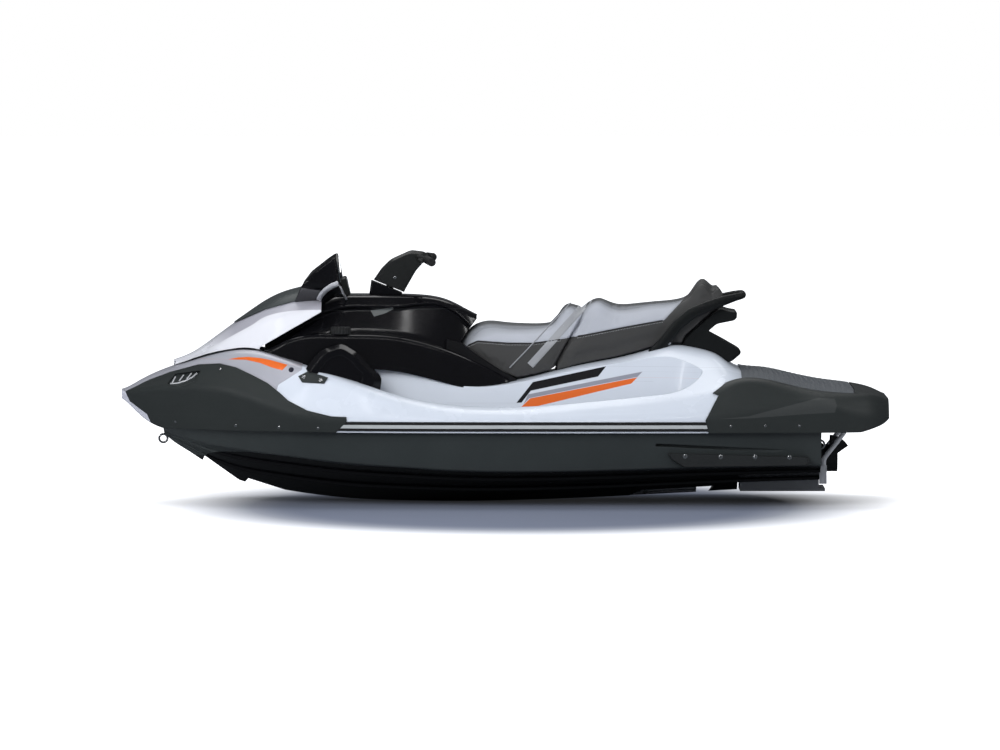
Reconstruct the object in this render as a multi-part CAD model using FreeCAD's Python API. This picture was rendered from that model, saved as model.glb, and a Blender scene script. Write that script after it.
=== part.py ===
# A three-seat personal watercraft: a V hull with a water-jet drive, a deck with two footwells, a stepped
# seat, a hinged bow hood with mirrors, a handlebar on a sloping column, a steered and reversible nozzle
# and a folding boarding step. Millimetres. +X is the bow, +Y is port, +Z is up. The origin is amidships on
# the centreline, at the resting waterline.
import FreeCAD, Part

import math
import os

from FreeCAD import Vector

os.makedirs("parts", exist_ok=True)

# Driving sizes of the whole craft. Heights in shares are counted from the keel's lowest line, lengths in
# shares from the stern's last point, and widths in shares of half the beam. The rails and the cladding
# stand proud of the beam.
length = 3145.0
beam = 1168.0
height = 1033.0
draft = 240.0

# The share of the length that lies behind the origin, and shared clearances and thicknesses.
amidships_share = 0.5
overrun = 40.0
seam = 0.3
moving_gap = 6.0
pin_clearance = 0.08
cladding_proud = 6.0
cladding_thickness = 26.0
flange_overhang = 26.0
round_limit_share = 0.4


def at(share):
    """The X of a share of the length, from the stern."""
    return (share - amidships_share) * length


def up(share):
    """The Z of a share of the height, from the keel."""
    return share * height - draft


def out(share):
    """The Y of a share of half the beam, on the port side."""
    return share * beam / 2


def curve(shares):
    """A smooth function through (place, value) pairs that never overshoots them."""
    places = [p for p, value in shares]
    values = [value for p, value in shares]
    rises = [
        (values[i + 1] - values[i]) / (places[i + 1] - places[i]) for i in range(len(places) - 1)
    ]
    slopes = [rises[0]]
    for before, after in zip(rises, rises[1:]):
        slopes.append(0.0 if before * after <= 0 else 2 * before * after / (before + after))
    slopes.append(rises[-1])

    def value_at(place):
        i = max(0, min(len(places) - 2, sum(1 for p in places if p <= place) - 1))
        span = places[i + 1] - places[i]
        t = min(1.0, max(0.0, (place - places[i]) / span))
        start = (1 + 2 * t) * (1 - t) ** 2 * values[i] + t * (1 - t) ** 2 * span * slopes[i]
        end = t * t * (3 - 2 * t) * values[i + 1] + t * t * (t - 1) * span * slopes[i + 1]
        return start + end

    return value_at


def mirrored(half):
    """A half section's (y, z, round) corners, from lower middle to upper middle, and the other side's."""
    return half + [(-y, z, r) for y, z, r in reversed(half) if y > 0]


def rounded_wire(corners, rounds):
    """A closed wire through the corners. A corner whose round isn't zero is a curve that starts and ends
    that far from it, or nearer where the edge beside it is short."""
    starts, ends = [], []
    for i, corner in enumerate(corners):
        for spots, other in ((starts, corners[i - 1]), (ends, corners[(i + 1) % len(corners)])):
            run = other - corner
            spots.append(corner + run * min(rounds[i] / run.Length, round_limit_share))
    edges = []
    for i, corner in enumerate(corners):
        if rounds[i] > 0:
            bend = Part.BezierCurve()
            bend.setPoles([starts[i], corner, ends[i]])
            edges.append(bend.toShape())
        edges.append(Part.LineSegment(ends[i], starts[(i + 1) % len(corners)]).toShape())
    return Part.Wire(edges)


def section(x, points):
    """A closed wire of (y, z, round) corners in the plane at x."""
    return rounded_wire([Vector(x, y, z) for y, z, r in points], [r for y, z, r in points])


def loft(stations, points_at):
    """A solid through the sections that points_at gives at each station share."""
    return Part.makeLoft([section(at(s), points_at(s)) for s in stations], True)


def side_wire(shares, y, rounding=0.0, scale=1.0):
    """A closed side outline of (length share, height share) points in the plane at y, with its corners
    rounded and drawn in towards its middle by the scale."""
    corners = [Vector(at(s), y, up(h)) for s, h in shares]
    middle = sum(corners, Vector()) * (1 / len(corners))
    drawn = [middle + (corner - middle) * scale for corner in corners]
    return rounded_wire([Vector(c.x, y, c.z) for c in drawn], [rounding] * len(drawn))


def moulding(shares, inner, outer, rounding, end_share, both_ends=True):
    """A solid with a rounded side outline between two Y planes, drawn in to end_share at its outer end, or
    at both ends, over the length of the rounding."""
    places = [(outer - rounding, 1.0), (outer, end_share)]
    places = [(inner, end_share), (inner + rounding, 1.0)] + places if both_ends else [(inner, 1.0)] + places
    return Part.makeLoft([side_wire(shares, y, rounding, scale) for y, scale in places], True, True)


def bent_path(points, radius):
    """A wire of straight runs joined by tangent arcs."""
    edges, start = [], points[0]
    for before, corner, after in zip(points, points[1:], points[2:]):
        entry, leave = (corner - before).normalize(), (after - corner).normalize()
        half_turn = entry.getAngle(leave) / 2
        reach = radius * math.tan(half_turn)
        arc_start, arc_end = corner - entry * reach, corner + leave * reach
        centre = corner + (leave - entry).normalize() * (radius / math.cos(half_turn))
        arc_middle = centre + (corner - centre).normalize() * radius
        edges.append(Part.LineSegment(start, arc_start).toShape())
        edges.append(Part.Arc(arc_start, arc_middle, arc_end).toShape())
        start = arc_end
    edges.append(Part.LineSegment(start, points[-1]).toShape())
    return Part.Wire(edges)


def side_outline(shares, inner, outer):
    """A solid from a closed side outline of (length share, height share) points, between two Y planes."""
    corners = [Vector(at(s), inner, up(h)) for s, h in shares]
    face = Part.Face(Part.makePolygon(corners + corners[:1]))
    return face.extrude(Vector(0, outer - inner, 0))


def through_side_outline(shares):
    """The same, across the whole beam."""
    return side_outline(shares, -beam, beam)


def block(x0, x1, y0, y1, z0, z1):
    """A box from its lowest to its highest corner."""
    return Part.makeBox(x1 - x0, y1 - y0, z1 - z0, Vector(x0, y0, z0))


def both_sides(shape):
    """The shape and its mirror image across the centreline, as one compound."""
    return Part.Compound([shape, shape.mirror(Vector(0, 0, 0), Vector(0, 1, 0))])


def biggest(shape):
    """The largest solid of a boolean's result."""
    return max(shape.Solids, key=lambda solid: solid.Volume)


def less(shape, *tools):
    """The shape with each tool cut from it in turn."""
    for tool in tools:
        shape = shape.cut(tool)
    return shape


def rod(start, end, radius):
    """A straight round bar between two points."""
    line = end - start
    return Part.makeCylinder(radius, line.Length, start, line)


# Hull: the lower moulding, a V bottom with two lifting strakes a side, a hard chine and near-upright sides,
# up to the bond flange. It is solid apart from the engine bay, the pump chamber and the intake duct.
bond_height_share = 0.295
transom_share = 0.089

keel_shares = [
    (0.089, 0.060), (0.17, 0.050), (0.243, 0.038), (0.374, 0.016), (0.48, 0.004), (0.57, 0.0),
    (0.636, 0.003), (0.715, 0.014), (0.774, 0.038), (0.812, 0.058), (0.843, 0.079), (0.87, 0.119),
    (0.8966, 0.163), (0.925, 0.226), (0.945, 0.272),
]
keel_notches_shares = [
    [(0.8966, 0.150), (0.8914, 0.1833), (0.843, 0.075)], [(0.8430, 0.060), (0.8345, 0.092), (0.774, 0.032)],
]
chine_height_shares = [
    (0.089, 0.163), (0.25, 0.155), (0.40, 0.142), (0.48, 0.139), (0.57, 0.144), (0.636, 0.156),
    (0.715, 0.172), (0.774, 0.192), (0.835, 0.212), (0.89, 0.238), (0.945, 0.284),
]
chine_width_shares = [
    (0.089, 0.83), (0.25, 0.875), (0.40, 0.885), (0.55, 0.875), (0.65, 0.82), (0.73, 0.73),
    (0.80, 0.59), (0.86, 0.43), (0.91, 0.25), (0.945, 0.09),
]
flange_width_shares = [
    (0.0, 0.66), (0.02, 0.80), (0.05, 0.885), (0.09, 0.93), (0.165, 0.97), (0.25, 0.99), (0.40, 1.0),
    (0.55, 0.985), (0.65, 0.945), (0.73, 0.865), (0.80, 0.72), (0.86, 0.545), (0.91, 0.345),
    (0.945, 0.19), (0.975, 0.11), (1.0, 0.05),
]
keel_at = curve(keel_shares)
chine_height_at = curve(chine_height_shares)
chine_width_at = curve(chine_width_shares)
flange_width_at = curve(flange_width_shares)

strake_place_shares = (0.36, 0.68)
strake_width_share = 0.05
strake_depth = 5.0
chine_flat_share = 0.06
chine_rounding = 8.0
full_width_share = 0.4
groove_shares = [(0.3037, 0.253), (0.106, 0.2225), (0.106, 0.2115), (0.3037, 0.242)]
groove_floor_share = 0.878
hull_stations = [
    0.089, 0.14, 0.19, 0.25, 0.32, 0.40, 0.48, 0.56, 0.63, 0.70, 0.76, 0.81, 0.85, 0.885, 0.915, 0.945,
]


def hull_points(s):
    """The hull's half section: keel, two strakes with flat soles, the chine flat and the side."""
    keel, chine, chine_y = up(keel_at(s)), up(chine_height_at(s)), out(chine_width_at(s))
    fullness = min(1.0, chine_width_at(s) / full_width_share)
    top_y = max(out(flange_width_at(s)) - flange_overhang * fullness, chine_y + seam)
    inner_chine_y = chine_y * (1 - chine_flat_share)

    def on_bottom(y):
        return keel + (chine - keel) * y / inner_chine_y

    half = [(0.0, keel, 0.0)]
    for place in strake_place_shares:
        y = chine_y * place
        sole_y = y + chine_y * strake_width_share
        half += [
            (y, on_bottom(y), 0.0), (sole_y, on_bottom(y) - strake_depth * fullness, 0.0),
            (sole_y, on_bottom(sole_y), 0.0),
        ]
    half += [
        (inner_chine_y, chine, 0.0), (chine_y, chine - seam, chine_rounding * fullness),
        (top_y, up(bond_height_share), 0.0),
    ]
    return half + [(0.0, up(bond_height_share), 0.0)]


def make_hull():
    """The moulding with the two steps in its stem and the groove over each sponson."""
    form = loft(hull_stations, lambda s: mirrored(hull_points(s)))
    steps = [through_side_outline(shares) for shares in keel_notches_shares]
    grooves = both_sides(side_outline(groove_shares, out(groove_floor_share), beam))
    return form.cut(steps + grooves.Solids)


# Upper body: the deck moulding's outer form, from the bond flange up past the knuckle to the gunwale's
# edge and in to the seat base. The bumpers are cut from the same form made a little wider.
lower_edge_shares = [
    (0.0, 0.345), (0.008, 0.325), (0.03, 0.302), (0.055, 0.287), (0.93, 0.287), (0.955, 0.305),
    (0.98, 0.355), (1.0, 0.41),
]
knuckle_height_shares = [
    (0.0, 0.36), (0.02, 0.366), (0.05, 0.378), (0.092, 0.412), (0.16, 0.388), (0.235, 0.362), (0.40, 0.35),
    (0.55, 0.350), (0.65, 0.348), (0.73, 0.352), (0.7735, 0.370), (0.81, 0.402), (0.8416, 0.440),
    (0.872, 0.460), (0.91, 0.466), (0.95, 0.458), (0.98, 0.446), (1.0, 0.435),
]
knuckle_width_shares = [
    (0.0, 0.67), (0.02, 0.81), (0.05, 0.89), (0.09, 0.935), (0.165, 0.965), (0.25, 0.98), (0.40, 0.985),
    (0.55, 0.975), (0.65, 0.945), (0.73, 0.885), (0.80, 0.775), (0.86, 0.64), (0.91, 0.49),
    (0.95, 0.345), (0.98, 0.215), (1.0, 0.10),
]
edge_height_shares = [
    (0.0, 0.405), (0.018, 0.430), (0.077, 0.442), (0.123, 0.464), (0.178, 0.500), (0.20, 0.492),
    (0.23, 0.448), (0.27, 0.420), (0.374, 0.398), (0.479, 0.3825), (0.571, 0.388), (0.636, 0.420),
    (0.708, 0.500), (0.749, 0.541), (0.80, 0.590), (0.835, 0.610), (0.87, 0.596), (0.9136, 0.555),
    (0.965, 0.487), (1.0, 0.444),
]
edge_width_shares = [
    (0.0, 0.58), (0.02, 0.73), (0.05, 0.81), (0.09, 0.85), (0.165, 0.865), (0.25, 0.885), (0.40, 0.91),
    (0.55, 0.905), (0.65, 0.865), (0.70, 0.815), (0.75, 0.73), (0.80, 0.595), (0.84, 0.50), (0.87, 0.43),
    (0.91, 0.315), (0.95, 0.20), (0.98, 0.11), (1.0, 0.045),
]
crown_height_shares = [
    (0.0, 0.415), (0.033, 0.452), (0.068, 0.4645), (0.114, 0.490), (0.167, 0.522), (0.195, 0.535),
    (0.205, 0.552), (0.218, 0.583), (0.236, 0.605), (0.27, 0.629), (0.327, 0.594), (0.41, 0.542),
    (0.44, 0.518), (0.4686, 0.496), (0.495, 0.484), (0.54, 0.47), (0.60, 0.508), (0.66, 0.544),
    (0.71, 0.55), (0.75, 0.557), (0.80, 0.595), (0.835, 0.614), (0.87, 0.600), (0.9136, 0.559),
    (0.93, 0.5388), (0.945, 0.527), (0.963, 0.503), (0.985, 0.470), (1.0, 0.448),
]
crown_width_shares = [
    (0.0, 0.50), (0.033, 0.58), (0.114, 0.60), (0.167, 0.57), (0.20, 0.50), (0.236, 0.41), (0.27, 0.35),
    (0.327, 0.31), (0.41, 0.29), (0.55, 0.29), (0.70, 0.29), (0.80, 0.28), (0.87, 0.22), (0.9136, 0.16),
    (0.965, 0.08), (1.0, 0.02),
]
lower_edge_at = curve(lower_edge_shares)
knuckle_height_at = curve(knuckle_height_shares)
knuckle_width_at = curve(knuckle_width_shares)
edge_height_at = curve(edge_height_shares)
edge_width_at = curve(edge_width_shares)
crown_height_at = curve(crown_height_shares)
crown_width_at = curve(crown_width_shares)
body_stations = [
    0.0, 0.008, 0.02, 0.045, 0.08, 0.12, 0.165, 0.20, 0.22, 0.245, 0.28, 0.33, 0.40, 0.48, 0.55, 0.61, 0.66,
    0.71, 0.75, 0.79, 0.83, 0.87, 0.91, 0.945, 0.975, 1.0,
]
flange_rounding = 8.0
knuckle_rounding = 22.0
edge_rounding = 34.0
crown_rounding = 60.0


def body_points(s, grown):
    """The upper body's half section, with its outer corners moved out by grown."""
    return [
        (0.0, up(lower_edge_at(s)), 0.0),
        (out(flange_width_at(s)) + grown, up(lower_edge_at(s)), flange_rounding),
        (out(knuckle_width_at(s)) + grown, up(knuckle_height_at(s)), knuckle_rounding),
        (out(edge_width_at(s)) + grown, up(edge_height_at(s)) + grown, edge_rounding),
        (out(crown_width_at(s)), up(crown_height_at(s)) + grown, crown_rounding),
        (0.0, up(crown_height_at(s)) + grown, 0.0),
    ]


def make_body(grown):
    """The whole form, flat underneath where it meets the hull's flange."""
    below = block(-length, length, -beam, beam, -height, up(bond_height_share))
    return loft(body_stations, lambda s: mirrored(body_points(s, grown))).cut(below)


core_ends_share = (0.04, 0.96)
core_stations = [s for s in body_stations if core_ends_share[0] < s < core_ends_share[1]]


def core_points(s, inset):
    """The half section of the upper body's inside, narrower by inset and open above and below."""
    low, high = up(lower_edge_at(s)) - overrun, up(crown_height_at(s)) + overrun
    edge_y = out(edge_width_at(s)) - inset
    return [
        (0.0, low, 0.0),
        (out(flange_width_at(s)) - inset, low, 0.0),
        (out(flange_width_at(s)) - inset, up(lower_edge_at(s)), 0.0),
        (out(knuckle_width_at(s)) - inset, up(knuckle_height_at(s)), 0.0),
        (edge_y, up(edge_height_at(s)), 0.0),
        (edge_y, high, 0.0),
        (0.0, high, 0.0),
    ]


def make_core(inset):
    return loft(core_stations, lambda s: mirrored(core_points(s, inset)))


# Footwells: a tapered tub each side of the seat base, open above, with a floor below the bond line.
foot_floor_height_share = 0.245
foot_rim_height_share = 0.70
tub_wall = 12.0
foot_floor_shares = [
    (0.262, 0.62), (0.30, 0.49), (0.36, 0.42), (0.45, 0.385), (0.55, 0.375), (0.66, 0.375), (0.735, 0.40),
    (0.755, 0.48), (0.735, 0.60), (0.68, 0.715), (0.60, 0.785), (0.50, 0.815), (0.40, 0.815),
    (0.31, 0.79), (0.268, 0.73),
]
foot_rim_shares = [
    (0.235, 0.58), (0.28, 0.43), (0.35, 0.34), (0.45, 0.30), (0.55, 0.29), (0.66, 0.29), (0.76, 0.31),
    (0.785, 0.40), (0.765, 0.53), (0.70, 0.735), (0.61, 0.83), (0.50, 0.87), (0.40, 0.875),
    (0.30, 0.85), (0.247, 0.76),
]


def plan_wire(shares, z, grown):
    """A closed smooth wire at height z through (length share, width share) points, moved outwards."""
    spots = [(at(s), out(w)) for s, w in shares]
    moved = []
    for i, (x, y) in enumerate(spots):
        before, after = spots[i - 1], spots[(i + 1) % len(spots)]
        run = math.hypot(after[0] - before[0], after[1] - before[1])
        moved.append(Vector(
            x - grown * (after[1] - before[1]) / run, y + grown * (after[0] - before[0]) / run, z
        ))
    line = Part.BSplineCurve()
    line.interpolate(Points=moved, PeriodicFlag=True)
    return Part.Wire(line.toShape())


def make_footwell(grown):
    """The space of the port footwell, or with grown, of its whole tub."""
    floor = plan_wire(foot_floor_shares, up(foot_floor_height_share) - grown, -grown)
    rim = plan_wire(foot_rim_shares, up(foot_rim_height_share), -grown)
    return Part.makeLoft([floor, rim], True, True)


def make_tubs(wall):
    """The part of both tubs that hangs below the bond line, into the hull."""
    below = block(-length, length, -beam, beam, -draft, up(bond_height_share) + tub_wall)
    return both_sides(make_footwell(wall).common(below))


# Panels that cover the deck moulding, as the side view shows their edges.
bow_bumper_shares = [
    (1.02, 0.25), (1.02, 0.455), (0.9948, 0.440), (0.963, 0.488), (0.936, 0.520), (0.8988, 0.5526),
    (0.870, 0.5590), (0.849, 0.5458), (0.828, 0.518), (0.807, 0.486), (0.7916, 0.4503), (0.78, 0.4192),
    (0.755, 0.381), (0.7236, 0.3586), (0.704, 0.3566), (0.704, 0.337), (0.716, 0.30), (0.73, 0.25),
]
front_deck_shares = [
    (1.02, 0.40), (1.02, 0.80), (0.762, 0.80), (0.762, 0.5398), (0.793, 0.479), (0.80, 0.40),
]
stern_bumper_shares = [
    (-0.02, 0.25), (-0.02, 0.60), (0.200, 0.60), (0.2, 0.53), (0.218, 0.478), (0.230, 0.450),
    (0.2225, 0.442), (0.2395, 0.345), (0.232, 0.25),
]
bow_trim_shares = [
    (1.02, 0.47), (0.9948, 0.439), (0.9890, 0.400), (0.9665, 0.350), (0.9610, 0.312), (0.9516, 0.303),
    (0.9516, 0.27), (1.02, 0.27),
]
intake_shares = [(0.9390, 0.474), (0.9283, 0.514), (0.895, 0.530), (0.9005, 0.490), (0.9215, 0.466)]
intake_depth = 14.0
intake_rounding = 6.0
rail_ends_share = (0.225, 0.735)
rail_height_shares = (0.302, 0.338)
insert_ends_share = (0.2285, 0.731)
insert_height_shares = (0.312, 0.326)
rail_depth = 10.0
insert_depth = 3.0
mat_inset = 26.0
mat_thickness = 6.0
platform_ends_share = (0.047, 0.192)
platform_lowest_share = 0.36
platform_inset = 30.0


def slab_through(ends, heights):
    """A block across the whole beam between two length shares and two height shares."""
    return block(at(ends[0]), at(ends[1]), -beam, beam, up(heights[0]), up(heights[1]))


def make_cladding(proud, core, outline_shares):
    """A bumper: the proud form inside a side outline, less the core that it covers."""
    return proud.common(through_side_outline(outline_shares)).cut(core)


def make_intakes(proud, depth):
    """The two recesses in the bow bumper's sides, down to a depth below its surface."""
    opening = Part.Face(side_wire(intake_shares, -beam, intake_rounding)).extrude(Vector(0, 2 * beam, 0))
    return proud.common(opening).cut(make_core(depth - cladding_proud))


def make_mats(body):
    """A mat on each footwell's floor, and one on the boarding platform that follows the deck."""
    floor = Part.Face(plan_wire(foot_floor_shares, up(foot_floor_height_share), mat_inset))
    x0, x1 = [at(share) for share in platform_ends_share]
    over = block(x0, x1, -beam, beam, up(platform_lowest_share), height)
    platform = make_body(mat_thickness).common(over).cut(body).common(make_core(platform_inset))
    mats = both_sides(floor.extrude(Vector(0, 0, mat_thickness))).Solids
    return Part.Compound(mats + [biggest(platform)])


# Front storage bin and engine bay, cut from the solid mouldings, and the engine block in its bay.
bin_ends_share = (0.812, 0.910)
bin_floor_share = 0.34
bin_front_half = 62.0
bin_back_half = 165.0
bay_ends_share = (0.325, 0.535)
bay_heights_share = (0.075, 0.425)
bay_half_width = 195.0
engine_length = 560.0
engine_width = 350.0
engine_height = 330.0


def make_bin():
    """The bin under the hood: a tapered box with its wide end aft."""
    x0, x1 = at(bin_ends_share[0]), at(bin_ends_share[1])
    corners = [
        Vector(x0, -bin_back_half, 0), Vector(x1, -bin_front_half, 0),
        Vector(x1, bin_front_half, 0), Vector(x0, bin_back_half, 0),
    ]
    floor = Part.Face(Part.makePolygon(corners + corners[:1]))
    floor.translate(Vector(0, 0, up(bin_floor_share)))
    return floor.extrude(Vector(0, 0, height))


def make_bay():
    return block(
        at(bay_ends_share[0]), at(bay_ends_share[1]), -bay_half_width, bay_half_width,
        up(bay_heights_share[0]), up(bay_heights_share[1]),
    )


def make_engine():
    middle = at(sum(bay_ends_share) / 2)
    floor = up(bay_heights_share[0])
    return block(
        middle - engine_length / 2, middle + engine_length / 2, -engine_width / 2, engine_width / 2,
        floor, floor + engine_height,
    )


# Jet drive: the pump chamber in the stern, the intake duct that feeds it, the pump housing with its
# impeller and guide vanes, the reducing nozzle, the steered nozzle and the reverse bucket.
jet_height_share = 0.172
chamber_front_share = 0.195
chamber_half_width = 150.0
chamber_top_share = 0.272
duct_radius = 74.0
duct_mouth_ends_share = (0.255, 0.375)
duct_mouth_half_width = 95.0
pump_radius = 92.0
pump_bore = 77.0
pump_back_share = 0.140
reducer_waist_share = 0.112
reducer_back_share = 0.096
reducer_radius = 56.0
reducer_bore = 48.0
hub_radius = 26.0
hub_tip_radius = 8.0
vane_count = 6
vane_thickness = 5.0
vane_length = 80.0
blade_count = 3
blade_thickness = 6.0
blade_gap = 3.0
blade_twist = 75.0
blade_steps = 4
impeller_length = 62.0
shaft_radius = 14.0
shaft_gap = 3.0
stub_radius = 10.0
stub_length = 40.0
jet_z = up(jet_height_share)
chamber_x = at(chamber_front_share)
pump_back_x = at(pump_back_share)
reducer_back_x = at(reducer_back_share)


def along_jet(x0, x1, radius, radius_end=None):
    """A round bar or cone on the jet's axis, from x0 forward to x1."""
    if radius_end is None:
        return Part.makeCylinder(radius, x1 - x0, Vector(x0, 0, jet_z), Vector(1, 0, 0))
    return Part.makeCone(radius, radius_end, x1 - x0, Vector(x0, 0, jet_z), Vector(1, 0, 0))


def make_chamber():
    """The open space under the stern that holds the pump."""
    return block(
        at(transom_share) - overrun, chamber_x, -chamber_half_width, chamber_half_width,
        up(0.0) - overrun, up(chamber_top_share),
    )


def make_duct():
    """The intake: a mouth in the bottom that slants up and aft into the pump's round bore."""
    x0, x1 = at(duct_mouth_ends_share[0]), at(duct_mouth_ends_share[1])
    low, high = up(0.0) - overrun, jet_z + duct_radius
    corners = [
        Vector(x0, 0, low), Vector(x1, 0, low), Vector(chamber_x, 0, high), Vector(chamber_x, 0, jet_z),
    ]
    profile = Part.Face(Part.makePolygon(corners + corners[:1]))
    profile.translate(Vector(0, -duct_mouth_half_width, 0))
    slanted = profile.extrude(Vector(0, 2 * duct_mouth_half_width, 0))
    throat = along_jet(chamber_x - overrun, x1, duct_radius)
    lower = block(chamber_x, x1, -duct_mouth_half_width, duct_mouth_half_width, low, jet_z)
    return slanted.common(throat.fuse(lower)).fuse(
        along_jet(chamber_x - overrun, chamber_x + duct_radius, duct_radius)
    )


def make_shaft_tunnel():
    return along_jet(chamber_x, at(bay_ends_share[0]) + overrun, shaft_radius + shaft_gap)


def make_pump_housing():
    """The housing with its six guide vanes and hub, and the reducing nozzle with two pivot bosses."""
    waist_x = at(reducer_waist_share)
    outer = along_jet(pump_back_x, chamber_x, pump_radius).fuse([
        along_jet(waist_x, pump_back_x, reducer_radius, pump_radius),
        along_jet(reducer_back_x, waist_x, reducer_radius),
        Part.makeCylinder(
            boss_radius, 2 * boss_reach, Vector(nozzle_pivot_x, 0, jet_z - boss_reach), Vector(0, 0, 1)
        ),
        Part.makeCylinder(
            pivot_pin_radius, 2 * pin_reach, Vector(nozzle_pivot_x, 0, jet_z - pin_reach), Vector(0, 0, 1)
        ),
    ])
    bore = along_jet(pump_back_x, chamber_x, pump_bore).fuse([
        along_jet(waist_x, pump_back_x, reducer_bore, pump_bore),
        along_jet(reducer_back_x, waist_x, reducer_bore),
    ])
    shell = outer.cut(bore)
    vane_front = pump_back_x + vane_length / 2
    hub = along_jet(pump_back_x, vane_front, hub_radius).fuse(
        along_jet(pump_back_x - 2 * hub_radius, pump_back_x, hub_tip_radius, hub_radius)
    )
    vanes = []
    for i in range(vane_count):
        vane = Part.makeBox(
            vane_length / 2, vane_thickness, (pump_bore + pump_radius) / 2,
            Vector(pump_back_x, -vane_thickness / 2, jet_z),
        )
        vane.rotate(Vector(0, 0, jet_z), Vector(1, 0, 0), 360.0 * i / vane_count)
        vanes.append(vane)
    guide = hub.fuse(vanes).cut(
        along_jet(vane_front - stub_length, vane_front, stub_radius + pin_clearance)
    )
    return shell.fuse(guide)


def make_impeller():
    """The impeller with three swept blades, its aft stub in the hub's bore and its shaft to the engine."""
    back = pump_back_x + vane_length / 2 + blade_gap
    front = back + impeller_length
    shaft_end = at(sum(bay_ends_share) / 2) - engine_length / 2 - seam
    body = along_jet(back, front, hub_radius).fuse([
        along_jet(front, front + hub_radius, hub_radius, shaft_radius),
        along_jet(front, shaft_end, shaft_radius),
        along_jet(back - stub_length + blade_gap, back, stub_radius),
    ])
    tip = pump_bore - blade_gap
    blades = []
    for i in range(blade_count):
        wires = []
        for step in range(blade_steps + 1):
            x = back + blade_gap + (impeller_length - 2 * blade_gap) * step / blade_steps
            corners = [
                Vector(x, -blade_thickness / 2, jet_z + hub_radius / 2),
                Vector(x, blade_thickness / 2, jet_z + hub_radius / 2),
                Vector(x, blade_thickness / 2, jet_z + tip), Vector(x, -blade_thickness / 2, jet_z + tip),
            ]
            wire = Part.makePolygon(corners + corners[:1])
            turn = 360.0 * i / blade_count + blade_twist * step / blade_steps
            wire.rotate(Vector(0, 0, jet_z), Vector(1, 0, 0), turn)
            wires.append(wire)
        blades.append(Part.makeLoft(wires, True, False).common(along_jet(back, front, tip)))
    return body.fuse(blades)


# Steered nozzle: a bell round the reducer's end, turning on two upright pins, with side pins for the
# bucket.
nozzle_pivot_share = 0.101
nozzle_pivot_x = at(nozzle_pivot_share)
bell_radius = 86.0
bell_bore = 76.0
bell_front = 22.0
bell_back = 30.0
cone_back = 60.0
nozzle_length = 118.0
nozzle_radius = 56.0
nozzle_bore = 46.0
boss_radius = 14.0
boss_reach = 70.0
pivot_pin_radius = 9.0
pin_reach = 92.0
bucket_pivot_back = 85.0
bucket_pin_radius = 8.0
bucket_boss_radius = 15.0
bucket_boss_reach = 66.0
bucket_cheek_inner = 72.0
bucket_cheek = 8.0
bucket_radius = 92.0
bucket_wall = 6.0
bucket_eye_radius = 20.0
bucket_low_angle = 35.0
bucket_high_angle = 88.0
bucket_pivot_x = nozzle_pivot_x - bucket_pivot_back


def make_steering_nozzle():
    front, back = nozzle_pivot_x + bell_front, nozzle_pivot_x - bell_back
    cone, end = nozzle_pivot_x - cone_back, nozzle_pivot_x - nozzle_length
    side_pin = Part.makeCylinder(
        bucket_boss_radius, 2 * bucket_boss_reach,
        Vector(bucket_pivot_x, -bucket_boss_reach, jet_z), Vector(0, 1, 0),
    )
    side_pins = Part.makeCylinder(
        bucket_pin_radius, 2 * (bucket_cheek_inner + bucket_cheek),
        Vector(bucket_pivot_x, -bucket_cheek_inner - bucket_cheek, jet_z), Vector(0, 1, 0),
    )
    outer = along_jet(back, front, bell_radius).fuse([
        along_jet(cone, back, nozzle_radius, bell_radius), along_jet(end, cone, nozzle_radius),
        side_pin, side_pins,
    ])
    bore = along_jet(back, front, bell_bore).fuse([
        along_jet(cone, back, nozzle_bore, bell_bore), along_jet(end, cone, nozzle_bore),
    ])
    pin_holes = Part.makeCylinder(
        pivot_pin_radius + pin_clearance, 2 * height, Vector(nozzle_pivot_x, 0, jet_z - height),
        Vector(0, 0, 1),
    )
    return outer.cut([bore, pin_holes])


def around_bucket_pivot(radius, y0, y1):
    return Part.makeCylinder(radius, y1 - y0, Vector(bucket_pivot_x, y0, jet_z), Vector(0, 1, 0))


def bucket_sector(radius, y0, y1):
    """A slice of a disc round the bucket's pivot, between its low and high angles behind the pivot."""
    def spoke(angle):
        turn = math.radians(angle)
        reach = 2 * bucket_radius
        return Vector(bucket_pivot_x - reach * math.cos(turn), y0, jet_z + reach * math.sin(turn))

    middle = (bucket_low_angle + bucket_high_angle) / 2
    corners = [Vector(bucket_pivot_x, y0, jet_z), spoke(bucket_low_angle), spoke(middle),
               spoke(bucket_high_angle)]
    wedge = Part.Face(Part.makePolygon(corners + corners[:1])).extrude(Vector(0, y1 - y0, 0))
    return around_bucket_pivot(radius, y0, y1).common(wedge)


def make_reverse_bucket():
    """The scoop that drops over the nozzle's end: a curved wall between two cheeks with their eyes."""
    outer_y = bucket_cheek_inner + bucket_cheek
    shell = bucket_sector(bucket_radius, -outer_y, outer_y).cut(
        around_bucket_pivot(bucket_radius - bucket_wall, -outer_y, outer_y)
    )
    cheek = bucket_sector(bucket_radius, bucket_cheek_inner, outer_y).fuse(
        around_bucket_pivot(bucket_eye_radius, bucket_cheek_inner, outer_y)
    )
    bucket = shell.fuse(both_sides(cheek).Solids)
    return bucket.cut(around_bucket_pivot(bucket_pin_radius + pin_clearance, -height, height))


# Ride plate under the pump, and the intake grate with its three bars.
plate_ends_share = (0.081, 0.192)
plate_height_share = 0.046
plate_thickness = 12.0
plate_wall = 8.0
plate_wall_top_share = 0.10
grate_bar_radius = 7.0
grate_bar_spacing = 50.0


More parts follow.
